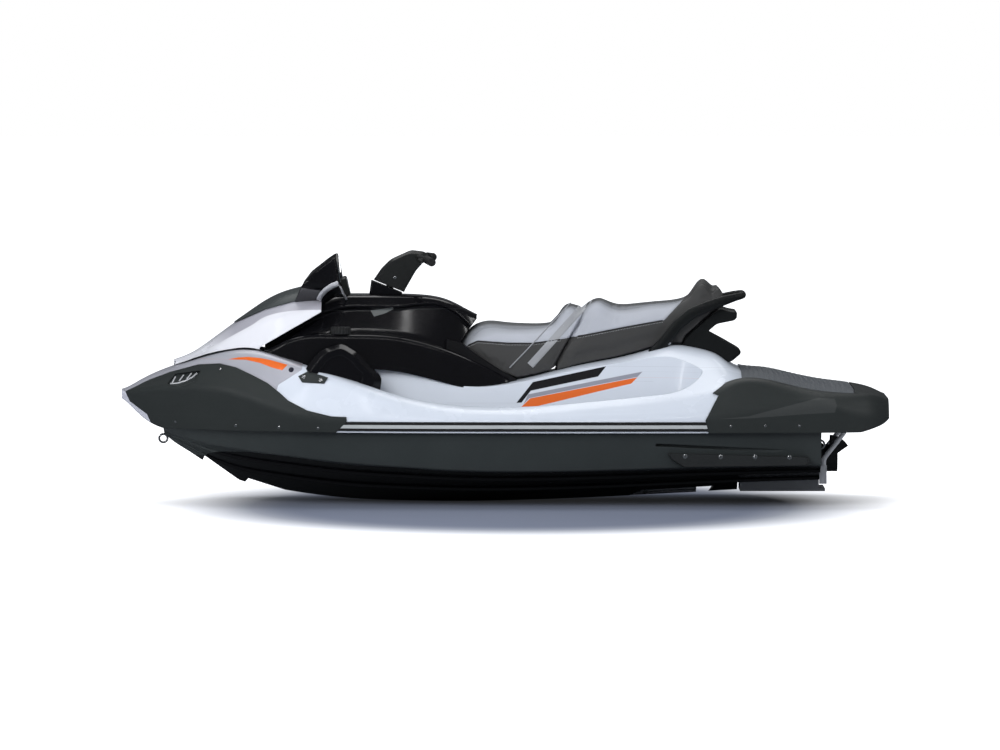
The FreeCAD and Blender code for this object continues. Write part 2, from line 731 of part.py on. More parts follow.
def make_ride_plate():
    x0, x1 = at(plate_ends_share[0]), at(plate_ends_share[1])
    half, low = chamber_half_width - seam, up(plate_height_share)
    tray = block(x0, x1, -half, half, low, up(plate_wall_top_share))
    room = block(
        x0 - overrun, x1 + overrun, -half + plate_wall, half - plate_wall, low + plate_thickness, height
    )
    behind = block(x0 - overrun, at(transom_share), -beam, beam, low + plate_thickness, height)
    return tray.cut([room, behind])


def bottom_z(s, y):
    """The hull bottom's height at a length share and a distance from the centreline."""
    keel, chine = up(keel_at(s)), up(chine_height_at(s))
    return keel + (chine - keel) * abs(y) / (out(chine_width_at(s)) * (1 - chine_flat_share))


def make_intake_grate():
    s0, s1 = duct_mouth_ends_share
    bars = []
    for y in (-grate_bar_spacing, 0.0, grate_bar_spacing):
        front = Vector(at(s1) + overrun / 2, y, bottom_z(s1, y) + grate_bar_radius)
        back = Vector(at(s0) - overrun / 2, y, bottom_z(s0, y) + grate_bar_radius)
        bars.append(rod(back, front, grate_bar_radius))
    s = (s0 + s1) / 2
    half = duct_mouth_half_width + overrun / 2
    middle = Vector(at(s), 0, bottom_z(s, 0) + grate_bar_radius)
    for side in (-1, 1):
        tip = Vector(at(s), side * half, bottom_z(s, half) + grate_bar_radius)
        bars.append(rod(middle, tip, grate_bar_radius))
    return bars[0].fuse(bars[1:])


# Console: a wide skirt over the pedestal and a narrower tower that carries the steering, the
# instruments and the glove box.
console_base_shares = [
    (0.4935, 0.478), (0.538, 0.455), (0.5995, 0.498), (0.6636, 0.534), (0.757, 0.542), (0.815, 0.57),
]
ledge_height_shares = [
    (0.4935, 0.492), (0.5065, 0.514), (0.538, 0.562), (0.5615, 0.594), (0.6165, 0.649), (0.6466, 0.665),
    (0.6964, 0.673), (0.75, 0.673), (0.815, 0.61),
]
skirt_base_width_shares = [
    (0.4935, 0.29), (0.538, 0.325), (0.60, 0.365), (0.66, 0.405), (0.72, 0.45), (0.76, 0.48), (0.815, 0.46),
]
skirt_ledge_width_shares = [
    (0.4935, 0.28), (0.538, 0.31), (0.60, 0.35), (0.66, 0.385), (0.72, 0.435), (0.76, 0.465), (0.815, 0.44),
]
tower_top_shares = [
    (0.53, 0.735), (0.55, 0.766), (0.567, 0.793), (0.584, 0.811), (0.5995, 0.819), (0.6335, 0.825),
    (0.687, 0.825), (0.70, 0.83), (0.738, 0.80), (0.78, 0.70), (0.815, 0.625),
]
tower_base_width_shares = [
    (0.53, 0.16), (0.56, 0.215), (0.60, 0.26), (0.66, 0.285), (0.70, 0.295), (0.75, 0.33), (0.815, 0.34),
]
tower_lip_width_shares = [
    (0.53, 0.12), (0.56, 0.18), (0.60, 0.225), (0.66, 0.25), (0.70, 0.26), (0.75, 0.29), (0.815, 0.30),
]
tower_lip_height_shares = [
    (0.53, 0.655), (0.5433, 0.697), (0.5535, 0.729), (0.567, 0.765), (0.583, 0.785), (0.60, 0.791),
    (0.6466, 0.777), (0.70, 0.779), (0.738, 0.752), (0.78, 0.672), (0.815, 0.612),
]
tower_top_width_shares = [
    (0.53, 0.09), (0.56, 0.145), (0.60, 0.19), (0.66, 0.215), (0.70, 0.225), (0.75, 0.25), (0.815, 0.27),
]
tower_outline_shares = [
    (0.50, 0.95), (0.5357, 0.74), (0.5357, 0.728), (0.543, 0.699), (0.5605, 0.6215), (0.60, 0.55),
    (0.83, 0.50), (0.83, 0.95),
]
neck_inset = 20.0
lip_depth = 10.0
lip_rounding = 8.0
tower_rounding = 36.0
ledge_rounding = 24.0
console_base_at = curve(console_base_shares)
ledge_height_at = curve(ledge_height_shares)
skirt_base_width_at = curve(skirt_base_width_shares)
skirt_ledge_width_at = curve(skirt_ledge_width_shares)
tower_top_at = curve(tower_top_shares)
tower_base_width_at = curve(tower_base_width_shares)
tower_lip_width_at = curve(tower_lip_width_shares)
tower_lip_height_at = curve(tower_lip_height_shares)
tower_top_width_at = curve(tower_top_width_shares)
skirt_stations = [0.4935, 0.515, 0.538, 0.5615, 0.60, 0.64, 0.68, 0.72, 0.76, 0.79, 0.812]
tower_stations = [0.53, 0.545, 0.56, 0.58, 0.60, 0.64, 0.69, 0.72, 0.75, 0.78, 0.812]


def skirt_points(s):
    base, ledge = up(console_base_at(s)), up(ledge_height_at(s))
    return [
        (0.0, base, 0.0), (out(skirt_base_width_at(s)), base, 0.0),
        (out(skirt_ledge_width_at(s)), ledge, ledge_rounding), (0.0, ledge, 0.0),
    ]


def tower_points(s):
    """The tower's half section: upright to the ledge, in to the neck, and out to the cap's lip."""
    foot, ledge = up(console_base_at(s)), up(ledge_height_at(s))
    lip, top = up(tower_lip_height_at(s)), up(tower_top_at(s))
    wide, lip_y = out(tower_base_width_at(s)), out(tower_lip_width_at(s))
    return [
        (0.0, foot, 0.0), (wide, foot, 0.0), (wide, ledge, ledge_rounding),
        (lip_y - neck_inset, lip - lip_depth, lip_rounding), (lip_y, lip, lip_rounding),
        (out(tower_top_width_at(s)), top, tower_rounding), (0.0, top, 0.0),
    ]


def make_console():
    skirt = loft(skirt_stations, lambda s: mirrored(skirt_points(s)))
    tower = loft(tower_stations, lambda s: mirrored(tower_points(s)))
    return skirt.fuse(tower.common(through_side_outline(tower_outline_shares)))


# Glove box in the console's aft top, with its lid hinged at the forward edge.
lid_ends_share = (0.5535, 0.6015)
lid_half_width = 58.0
lid_lowest_share = 0.7
lid_thickness = 12.0
lid_gap = 5.0
box_margin = 14.0
box_depth = 120.0
lid_seat_depth = 40.0
glove_hinge_share = 0.5985
glove_hinge_depth = 7.0
hinge_pin_radius = 3.0
hinge_barrel_radius = 6.5
hinge_lug_width = 12.0
glove_hinge_x = at(glove_hinge_share)
glove_hinge_z = up(tower_top_at(glove_hinge_share)) - glove_hinge_depth


def lid_column(grown, z0, z1):
    """The upright space over the lid's plan, grown all round."""
    return block(
        at(lid_ends_share[0]) - grown, at(lid_ends_share[1]) + grown, -lid_half_width - grown,
        lid_half_width + grown, z0, z1,
    )


def make_lid(console):
    """The lid: the console's own top skin over the box, with its hinge barrel."""
    lowered = console.copy()
    lowered.translate(Vector(0, 0, -lid_thickness))
    skin = biggest(console.common(lid_column(0.0, up(lid_lowest_share), height)).cut(lowered))
    barrel = Part.makeCylinder(
        hinge_barrel_radius, 2 * (lid_half_width - hinge_lug_width - lid_gap),
        Vector(glove_hinge_x, -lid_half_width + hinge_lug_width + lid_gap, glove_hinge_z), Vector(0, 1, 0),
    )
    pin_hole = Part.makeCylinder(
        hinge_pin_radius + pin_clearance, beam, Vector(glove_hinge_x, -beam / 2, glove_hinge_z),
        Vector(0, 1, 0),
    )
    notches = both_sides(block(
        glove_hinge_x - hinge_barrel_radius - lid_gap, glove_hinge_x + length,
        lid_half_width - hinge_lug_width - lid_gap, beam, -height, height,
    ))
    return biggest(skin.fuse(barrel).cut([pin_hole] + notches.Solids))


# Hood: a thin shell over the bin, hinged at its front end, with the dark cowl along its ridge and the
# two mirrors at its rear corners.
hood_wall = 12.0
crease_rounding = 14.0
ridge_rounding = 40.0
cowl_proud = 4.0
hood_hinge_share = 0.930
hood_hinge_rise = 19.0
hood_hinge_half = 42.0
hood_top_shares = [
    (0.932, 0.565), (0.911, 0.590), (0.861, 0.695), (0.834, 0.753), (0.803, 0.813), (0.780, 0.841),
    (0.766, 0.853), (0.75, 0.860), (0.735, 0.862),
]
hood_low_width_shares = [
    (0.932, 0.10), (0.911, 0.20), (0.88, 0.30), (0.85, 0.375), (0.82, 0.43), (0.79, 0.465), (0.76, 0.48),
    (0.735, 0.48),
]
hood_crease_height_shares = [
    (0.932, 0.555), (0.904, 0.578), (0.8586, 0.653), (0.806, 0.735), (0.753, 0.769), (0.735, 0.771),
]
hood_crease_width_shares = [
    (0.932, 0.085), (0.904, 0.185), (0.8586, 0.285), (0.806, 0.35), (0.753, 0.395), (0.735, 0.40),
]
hood_ridge_width_shares = [
    (0.932, 0.04), (0.904, 0.09), (0.8586, 0.15), (0.806, 0.195), (0.753, 0.235), (0.735, 0.24),
]
hood_ridge_drop_shares = [(0.932, 0.002), (0.88, 0.008), (0.80, 0.015), (0.735, 0.016)]
hood_outline_shares = [
    (0.9305, 0.40), (0.818, 0.40), (0.818, 0.6215), (0.738, 0.761), (0.738, 0.92), (0.9305, 0.92),
]
cowl_outline_shares = [
    (0.853, 0.713), (0.8115, 0.769), (0.776, 0.800), (0.746, 0.813), (0.70, 0.813), (0.70, 0.95),
    (0.853, 0.95),
]
hood_stations = [0.932, 0.92, 0.905, 0.885, 0.86, 0.835, 0.81, 0.785, 0.76, 0.735]
hood_top_at = curve(sorted(hood_top_shares))
hood_low_width_at = curve(sorted(hood_low_width_shares))
hood_crease_height_at = curve(sorted(hood_crease_height_shares))
hood_crease_width_at = curve(sorted(hood_crease_width_shares))
hood_ridge_width_at = curve(sorted(hood_ridge_width_shares))
hood_ridge_drop_at = curve(sorted(hood_ridge_drop_shares))
hood_hinge_x = at(hood_hinge_share)
hood_hinge_z = up(crown_height_at(hood_hinge_share)) + hood_hinge_rise


def hood_points(s, grown):
    """The hood's half section: lower edge, side crease, ridge and top, all moved out by grown."""
    low = up(max(crown_height_at(s), edge_height_at(s))) + moving_gap
    if grown < 0:
        low -= overrun
    top = up(hood_top_at(s)) + grown
    return [
        (0.0, low, 0.0),
        (out(hood_low_width_at(s)) + grown, low, 0.0),
        (out(hood_crease_width_at(s)) + grown, up(hood_crease_height_at(s)) + grown / 2, crease_rounding),
        (out(hood_ridge_width_at(s)) + grown / 2, top - hood_ridge_drop_at(s) * height, ridge_rounding),
        (0.0, top, 0.0),
    ]


def make_hood_form(grown):
    return loft(hood_stations, lambda s: mirrored(hood_points(s, grown)))


def make_hood():
    """The shell, open below, with the two barrels of its hinge under its front end."""
    region = through_side_outline(hood_outline_shares)
    shell = make_hood_form(0.0).common(region).cut(make_hood_form(-hood_wall))
    nose = block(
        hood_hinge_x - hinge_barrel_radius, hood_hinge_x + hinge_barrel_radius, -hood_hinge_half,
        hood_hinge_half, hood_hinge_z - hinge_barrel_radius, height,
    )
    barrel = Part.makeCylinder(
        hinge_barrel_radius, 2 * hood_hinge_half, Vector(hood_hinge_x, -hood_hinge_half, hood_hinge_z),
        Vector(0, 1, 0),
    )
    shell = shell.fuse([barrel, nose.common(make_hood_form(0.0))])
    pin_hole = Part.makeCylinder(
        hinge_pin_radius + pin_clearance, beam, Vector(hood_hinge_x, -beam / 2, hood_hinge_z),
        Vector(0, 1, 0),
    )
    slot = block(
        hood_hinge_x - overrun, hood_hinge_x + overrun, -hinge_lug_width / 2 - lid_gap,
        hinge_lug_width / 2 + lid_gap, -height, hood_hinge_z + hinge_barrel_radius + seam,
    )
    return shell.cut([pin_hole, slot])


def make_hood_cowl():
    grown = make_hood_form(cowl_proud).common(through_side_outline(hood_outline_shares))
    return grown.common(through_side_outline(cowl_outline_shares)).cut(make_hood_form(0.0))


def make_hinge(x, z, half, lug_places, lug_width, foot_z):
    """A cross pin on upright lugs that stand on foot_z."""
    pin = Part.makeCylinder(hinge_pin_radius, 2 * half, Vector(x, -half, z), Vector(0, 1, 0))
    lugs = []
    for y in lug_places:
        lugs.append(block(
            x - hinge_barrel_radius, x + hinge_barrel_radius, y - lug_width / 2, y + lug_width / 2, foot_z, z
        ))
        lugs.append(Part.makeCylinder(
            hinge_barrel_radius, lug_width, Vector(x, y - lug_width / 2, z), Vector(0, 1, 0)
        ))
    return pin.fuse(lugs)


# Mirrors: each housing tapers from the hood's corner up to its outer tip, with a glass in its aft face.
mirror_inner_share = 0.27
mirror_outer_share = 0.56
mirror_inner_shares = [(0.7105, 0.835), (0.7155, 0.905), (0.735, 0.885), (0.765, 0.845), (0.775, 0.79),
                       (0.735, 0.79)]
mirror_outer_shares = [(0.7125, 0.872), (0.7192, 0.992), (0.732, 0.965), (0.752, 0.915), (0.764, 0.868),
                       (0.74, 0.855)]
mirror_stations_share = [(0.0, 1.0), (0.90, 1.0), (0.97, 0.90), (1.0, 0.70)]
mirror_rounding = 12.0
glass_thickness = 3.0
glass_ends_share = (0.16, 0.88)
glass_rise_shares = (0.18, 0.84)


def mirror_outline(t):
    """The housing's side outline, and its place, at a share of the way from its inner to its outer end."""
    shares = [
        tuple(a + (b - a) * t for a, b in zip(inner, outer))
        for inner, outer in zip(mirror_inner_shares, mirror_outer_shares)
    ]
    return shares, out(mirror_inner_share + (mirror_outer_share - mirror_inner_share) * t)


def make_mirror():
    wires = []
    for t, scale in mirror_stations_share:
        shares, y = mirror_outline(t)
        wires.append(side_wire(shares, y, mirror_rounding, scale))
    return Part.makeLoft(wires, True, True)


def make_mirror_glass():
    """A flat strip that lies on the aft face, a ruled face between two edges."""
    wires = []
    for t in glass_ends_share:
        (foot, tip), y = mirror_outline(t)[0][:2], mirror_outline(t)[1]
        low, high = [
            Vector(at(foot[0] + (tip[0] - foot[0]) * r), y, up(foot[1] + (tip[1] - foot[1]) * r))
            for r in glass_rise_shares
        ]
        back = Vector(-glass_thickness, 0, 0)
        wires.append(Part.makePolygon([low, high, high + back, low + back, low]))
    return Part.makeLoft(wires, True, True)


# Instruments, fuel cap, air pods and cleats.
cluster_shares = [(0.699, 0.80), (0.7065, 0.896), (0.712, 0.893), (0.727, 0.80)]
cluster_half_width = 108.0
cluster_rounding = 10.0
small_end_share = 0.86
cap_share = 0.7127
cap_width_share = 0.36
cap_radius = 41.0
cap_height = 30.0
cap_edge = 4.0
knurl_count = 20
knurl_radius = 4.0
pod_shares = [
    (0.765, 0.50), (0.757, 0.546), (0.743, 0.598), (0.7356, 0.6175), (0.711, 0.645), (0.686, 0.598),
    (0.673, 0.546), (0.658, 0.51), (0.662, 0.44), (0.74, 0.44),
]
pod_widths_share = (0.50, 0.745)
pod_rounding = 26.0
pod_end_share = 0.82
pod_recess_share = 0.56
pod_recess = 7.0
cleat_shares = [(0.767, 0.514), (0.754, 0.534), (0.728, 0.510), (0.733, 0.486), (0.762, 0.490)]
cleat_proud = 4.0


def make_cluster():
    return moulding(
        cluster_shares, -cluster_half_width, cluster_half_width, cluster_rounding, small_end_share
    )


def make_fuel_cap():
    """A cap with finger notches all round its rim."""
    foot = Vector(at(cap_share), out(cap_width_share), up(ledge_height_at(cap_share)))
    cap = Part.makeCylinder(cap_radius, cap_height - cap_edge, foot).fuse(Part.makeCone(
        cap_radius, cap_radius - cap_edge, cap_edge, foot + Vector(0, 0, cap_height - cap_edge)
    ))
    notches = []
    for i in range(knurl_count):
        turn = math.radians(360.0 * i / knurl_count)
        rim = Vector(cap_radius * math.cos(turn), cap_radius * math.sin(turn), 0)
        notches.append(Part.makeCylinder(knurl_radius, height, foot + rim))
    return cap.cut(notches)


def make_pods():
    """An arched box each side, rounded towards its outer face, which is sunk inside a rim."""
    y0, y1 = [out(share) for share in pod_widths_share]
    sunk = Part.Face(side_wire(pod_shares, y1 - pod_recess, pod_rounding, pod_recess_share))
    pod = moulding(pod_shares, y0, y1, pod_rounding, pod_end_share, both_ends=False)
    return both_sides(pod.cut(sunk.extrude(Vector(0, pod_recess + overrun, 0))))


# Seats: a front and a rear cushion on the pedestal, parted by a slanting joint, with a raised end.
seat_outline_shares = [
    (0.5640, 0.640), (0.5437, 0.695), (0.5320, 0.80), (0.3880, 0.95), (0.3880, 0.803), (0.4365, 0.516),
    (0.4686, 0.49), (0.485, 0.49), (0.5065, 0.514), (0.538, 0.562), (0.5600, 0.6180),
]
rear_seat_outline_shares = [
    (0.3873, 0.803), (0.3873, 0.95), (0.2448, 0.95), (0.240, 0.883), (0.229, 0.870), (0.2107, 0.8345),
    (0.218, 0.777), (0.240, 0.720), (0.262, 0.660), (0.270, 0.600), (0.36, 0.52), (0.4350, 0.516),
    (0.4358, 0.516),
]
seat_top_shares = [
    (0.564, 0.645), (0.5437, 0.697), (0.526, 0.722), (0.504, 0.714), (0.463, 0.706), (0.4385, 0.709),
    (0.424, 0.765), (0.4155, 0.785), (0.394, 0.775), (0.3875, 0.800), (0.381, 0.809), (0.3567, 0.789),
    (0.332, 0.785), (0.304, 0.793), (0.263, 0.810), (0.2526, 0.8486), (0.2448, 0.8805), (0.229, 0.8685),
    (0.2107, 0.8327),
]
seat_line_shares = [
    (0.564, 0.60), (0.534, 0.641), (0.496, 0.633), (0.463, 0.633), (0.4267, 0.645), (0.3966, 0.665),
    (0.343, 0.697), (0.291, 0.725), (0.25, 0.755), (0.2107, 0.765),
]
seat_base_width_shares = [
    (0.564, 0.12), (0.54, 0.20), (0.50, 0.265), (0.46, 0.28), (0.40, 0.28), (0.36, 0.275), (0.33, 0.262),
    (0.25, 0.25), (0.2107, 0.22),
]
seat_line_width_shares = [
    (0.564, 0.105), (0.54, 0.185), (0.50, 0.235), (0.46, 0.255), (0.40, 0.262), (0.30, 0.255),
    (0.25, 0.245), (0.2107, 0.22),
]
seat_top_width_shares = [
    (0.564, 0.06), (0.54, 0.13), (0.50, 0.18), (0.46, 0.195), (0.40, 0.21), (0.30, 0.21), (0.25, 0.19),
    (0.2107, 0.17),
]
seat_crown = 14.0
piping_rounding = 12.0
cushion_rounding = 40.0
seat_stations = [
    0.5641, 0.55, 0.537, 0.52, 0.50, 0.47, 0.445, 0.434, 0.424, 0.4155, 0.40, 0.388, 0.381, 0.36, 0.33, 0.30,
    0.27, 0.258, 0.25, 0.2448, 0.235, 0.225, 0.2106,
]
seat_top_at = curve(sorted(seat_top_shares))
seat_line_at = curve(sorted(seat_line_shares))
seat_base_width_at = curve(sorted(seat_base_width_shares))
seat_line_width_at = curve(sorted(seat_line_width_shares))
seat_top_width_at = curve(sorted(seat_top_width_shares))


def seat_points(s):
    top = up(seat_top_at(s))
    return [
        (0.0, up(bond_height_share), 0.0),
        (out(seat_base_width_at(s)), up(bond_height_share), 0.0),
        (out(seat_line_width_at(s)), up(seat_line_at(s)), piping_rounding),
        (out(seat_top_width_at(s)), top - seat_crown, cushion_rounding),
        (0.0, top, 0.0),
    ]


def make_seats():
    """Both cushions, cut from one padded form by their side outlines."""
    form = loft(seat_stations, lambda s: mirrored(seat_points(s)))
    front = form.common(through_side_outline(seat_outline_shares))
    rear = form.common(through_side_outline(rear_seat_outline_shares))
    return front, rear


# Seat end cover and grab rail behind the rear cushion.
cover_shares = [
    (0.270, 0.590), (0.270, 0.629), (0.262, 0.660), (0.240, 0.720), (0.218, 0.777), (0.2055, 0.765),
    (0.1957, 0.761), (0.196, 0.729), (0.2225, 0.713), (0.235, 0.680), (0.2134, 0.645), (0.191, 0.6056),
    (0.191, 0.591), (0.203, 0.560), (0.22, 0.55),
]
cover_half_share = 0.235
cover_rounding = 12.0
cover_end_share = 0.94
rail_places_shares = [
    (0.306, 0.588, 0.298), (0.2875, 0.652, 0.298), (0.2736, 0.708, 0.298), (0.256, 0.7525, 0.298),
    (0.234, 0.7815, 0.298), (0.212, 0.8055, 0.296), (0.1985, 0.8175, 0.284), (0.1910, 0.8225, 0.252),
    (0.1884, 0.8240, 0.200), (0.1878, 0.8243, 0.10), (0.1876, 0.8244, 0.0),
]
rail_depths = [52.0, 47.0, 45.0, 46.0, 45.0, 39.0, 32.0, 29.0, 28.0, 28.0, 28.0]
rail_width = 26.0


def make_seat_cover():
    half = out(cover_half_share)
    return moulding(cover_shares, -half, half, cover_rounding, cover_end_share)


def make_grab_rail():
    """One hoop of oval section, deep at its two feet and slim where it crosses behind the seat."""
    port = [
        (Vector(at(s), out(w), up(h)), depth)
        for (s, h, w), depth in zip(rail_places_shares, rail_depths)
    ]
    starboard = [(Vector(spot.x, -spot.y, spot.z), depth) for spot, depth in reversed(port[:-1])]
    places = port + starboard
    wires = []
    for i, (spot, depth) in enumerate(places):
        along = (places[min(i + 1, len(places) - 1)][0] - places[max(i - 1, 0)][0]).normalize()
        rise = (Vector(0, 0, 1) - along * along.z).normalize()
        oval = Part.Ellipse(spot + rise * (depth / 2), spot + along.cross(rise) * (rail_width / 2), spot)
        wires.append(Part.Wire(oval.toShape()))
    return Part.makeLoft(wires, True, True)


# Sponsons on the hull's sides, and the eyes at the bow and the stern.
sponson_shares = [(0.289, 0.215), (0.105, 0.199), (0.105, 0.167), (0.268, 0.160), (0.285, 0.193)]
sponson_widths_share = (0.60, 0.958)
sponson_rounding = 9.0
sponson_end_share = 0.97
bow_eye_share = (0.946, 0.250)
eye_radius = 17.0
eye_rod = 4.5
stern_eye_height_share = 0.24
stern_eye_y = 330.0


def make_sponsons():
    y0, y1 = [out(share) for share in sponson_widths_share]
    return both_sides(moulding(
        sponson_shares, y0, y1, sponson_rounding, sponson_end_share, both_ends=False
    ))


def make_bow_eye():
    s, h = bow_eye_share
    return Part.makeTorus(eye_radius, eye_rod, Vector(at(s), 0, up(h)), Vector(0, 1, 0))


def make_stern_eyes():
    centre = Vector(at(transom_share), stern_eye_y, up(stern_eye_height_share))
    return both_sides(Part.makeTorus(eye_radius, eye_rod, centre, Vector(0, 1, 0)))


# Boarding step: a bent tube that folds up behind the transom, on two brackets with cross pins.
step_foot_share = (0.0838, 0.0916)
step_knee_share = (0.0833, 0.178)
step_top_share = (0.0563, 0.281)
step_pivot_x = at(step_foot_share[0])
step_pivot_z = up(step_foot_share[1])
step_half_width = 200.0
step_tube_radius = 10.0
step_bend_radius = 45.0
step_eye_radius = 14.0
step_pin_radius = 5.0
step_side_gap = 1.5
bracket_wall = 4.0
bracket_top_share = 0.195
bracket_foot_share = 0.112


def make_boarding_step():
    """Two legs that lean aft above their knees, a top bar, and an eye at the foot of each leg."""
    port = [
        Vector(at(share), step_half_width, up(rise))
        for share, rise in (step_foot_share, step_knee_share, step_top_share)
    ]
    starboard = [Vector(spot.x, -spot.y, spot.z) for spot in reversed(port)]
    foot = port[0]
    ring = Part.Wire(Part.Circle(foot, port[1] - foot, step_tube_radius).toShape())
    tube = bent_path(port + starboard, step_bend_radius).makePipeShell([ring], True, False)
    eye = Part.makeCylinder(
        step_eye_radius, 2 * step_tube_radius, foot - Vector(0, step_tube_radius, 0), Vector(0, 1, 0)
    )
    bore = Part.makeCylinder(
        step_pin_radius + pin_clearance, beam, Vector(step_pivot_x, -beam / 2, step_pivot_z), Vector(0, 1, 0)
    )
    return tube.fuse(both_sides(eye).Solids).cut(bore)


def make_step_bracket():
    """A plate on the transom with two lugs and the pin that the step's eye turns on."""
    inner = step_half_width - step_tube_radius - step_side_gap
    outer = step_half_width + step_tube_radius + step_side_gap
    back = step_pivot_x - step_eye_radius
    plate = block(
        at(transom_share) - bracket_wall, at(transom_share), inner - bracket_wall, outer + bracket_wall,
        up(bracket_foot_share), up(bracket_top_share),
    )
    low = step_pivot_z - step_eye_radius
    lugs = [
        block(back, at(transom_share), y, y + bracket_wall, low, up(bracket_foot_share) + overrun)
        for y in (inner - bracket_wall, outer)
    ]
    pin = Part.makeCylinder(
        step_pin_radius, outer - inner + 2 * bracket_wall,
        Vector(step_pivot_x, inner - bracket_wall, step_pivot_z), Vector(0, 1, 0),
    )
    return plate.fuse(lugs + [pin])


# Steering: a sloping column on the console, a stem in its bore, and the handlebar with pad, grips and
# levers that turn about the stem.
steering_tilt = 22.0
steering_foot_share = (0.6533, 0.825)
column_top = 30.0
stem_radius = 16.0
stem_below = 50.0
stem_above = 70.0
column_half_width = 52.0
column_shares = [(0.6335, 0.81), (0.6335, 0.84), (0.6728, 0.90), (0.6770, 0.81)]
pad_shares = [
    (0.6335, 0.80), (0.6728, 0.8725), (0.6603, 0.928), (0.648, 0.964), (0.6217, 1.0), (0.6034, 0.993),
    (0.5987, 0.975), (0.615, 0.92), (0.6300, 0.84),
]
pad_half_width = 62.0
pad_rounding = 14.0
column_rounding = 10.0
bar_radius = 11.0
grip_radius = 17.0
bar_places_shares = [
    (0.6132, 0.0, 0.9719), (0.6100, 0.2226, 0.9739), (0.6011, 0.3767, 0.9690), (0.5941, 0.6370, 0.9622),
]
grip_length = 120.0
lever_radius = 5.0
lever_gap = 34.0
lever_length = 115.0
perch_length = 26.0
steering_axis = Vector(-math.sin(math.radians(steering_tilt)), 0, math.cos(math.radians(steering_tilt)))
steering_foot = Vector(at(steering_foot_share[0]), 0, up(steering_foot_share[1]))


def along_stem(radius, low, high):
    return Part.makeCylinder(radius, high - low, steering_foot + steering_axis * low, steering_axis)


def above_stem(low):
    """All the space above the plane square to the steering axis at low along it."""
    return along_stem(height, low, low + height)


def make_column():
    return moulding(
        column_shares, -column_half_width, column_half_width, column_rounding, small_end_share
    ).cut(above_stem(column_top))


def make_pad():
    raw = moulding(pad_shares, -pad_half_width, pad_half_width, pad_rounding, small_end_share)
    return raw.common(above_stem(column_top + moving_gap))


def bar_points(side):
    return [Vector(at(s), side * out(w), up(h)) for s, w, h in bar_places_shares]


def make_handlebar():
    stem_top = steering_foot + steering_axis * (stem_above - stem_radius)
    parts = [along_stem(stem_radius, -stem_below, stem_above), rod(stem_top, bar_points(1)[0], stem_radius)]
    for side in (-1, 1):
        points = bar_points(side)
        for start, end in zip(points, points[1:]):
            parts.append(rod(start, end, bar_radius))
            parts.append(Part.makeSphere(bar_radius, start))
    return parts[0].fuse(parts[1:])


def grip_ends(side):
    """Where a grip starts on the bar's last run, and where it ends past the bar's tip."""
    inner, tip = bar_points(side)[-2:]
    line = tip - inner
    line.normalize()
    return tip - line * grip_length, tip + line * (grip_radius - bar_radius), line


def make_grips():
    solids = []
    for side in (-1, 1):
        start, end, line = grip_ends(side)
        solids.append(rod(start, end, grip_radius))
    return Part.Compound(solids)


def make_levers():
    """A perch round the bar inside each grip, with a lever that runs ahead of the grip."""
    solids = []
    for side in (-1, 1):
        start, end, line = grip_ends(side)
        perch_start = start - line * (perch_length + seam)
        perch = rod(perch_start, start - line * seam, grip_radius)
        ahead = Vector(lever_gap, 0, 0)
        knee = perch_start + line * (perch_length / 2) + ahead
        arm = rod(perch_start + line * (perch_length / 2), knee, lever_radius)
        blade = rod(knee, knee + line * lever_length, lever_radius)
        solids.append(perch.fuse([arm, blade, Part.makeSphere(lever_radius, knee)]))
    return Part.Compound(solids)


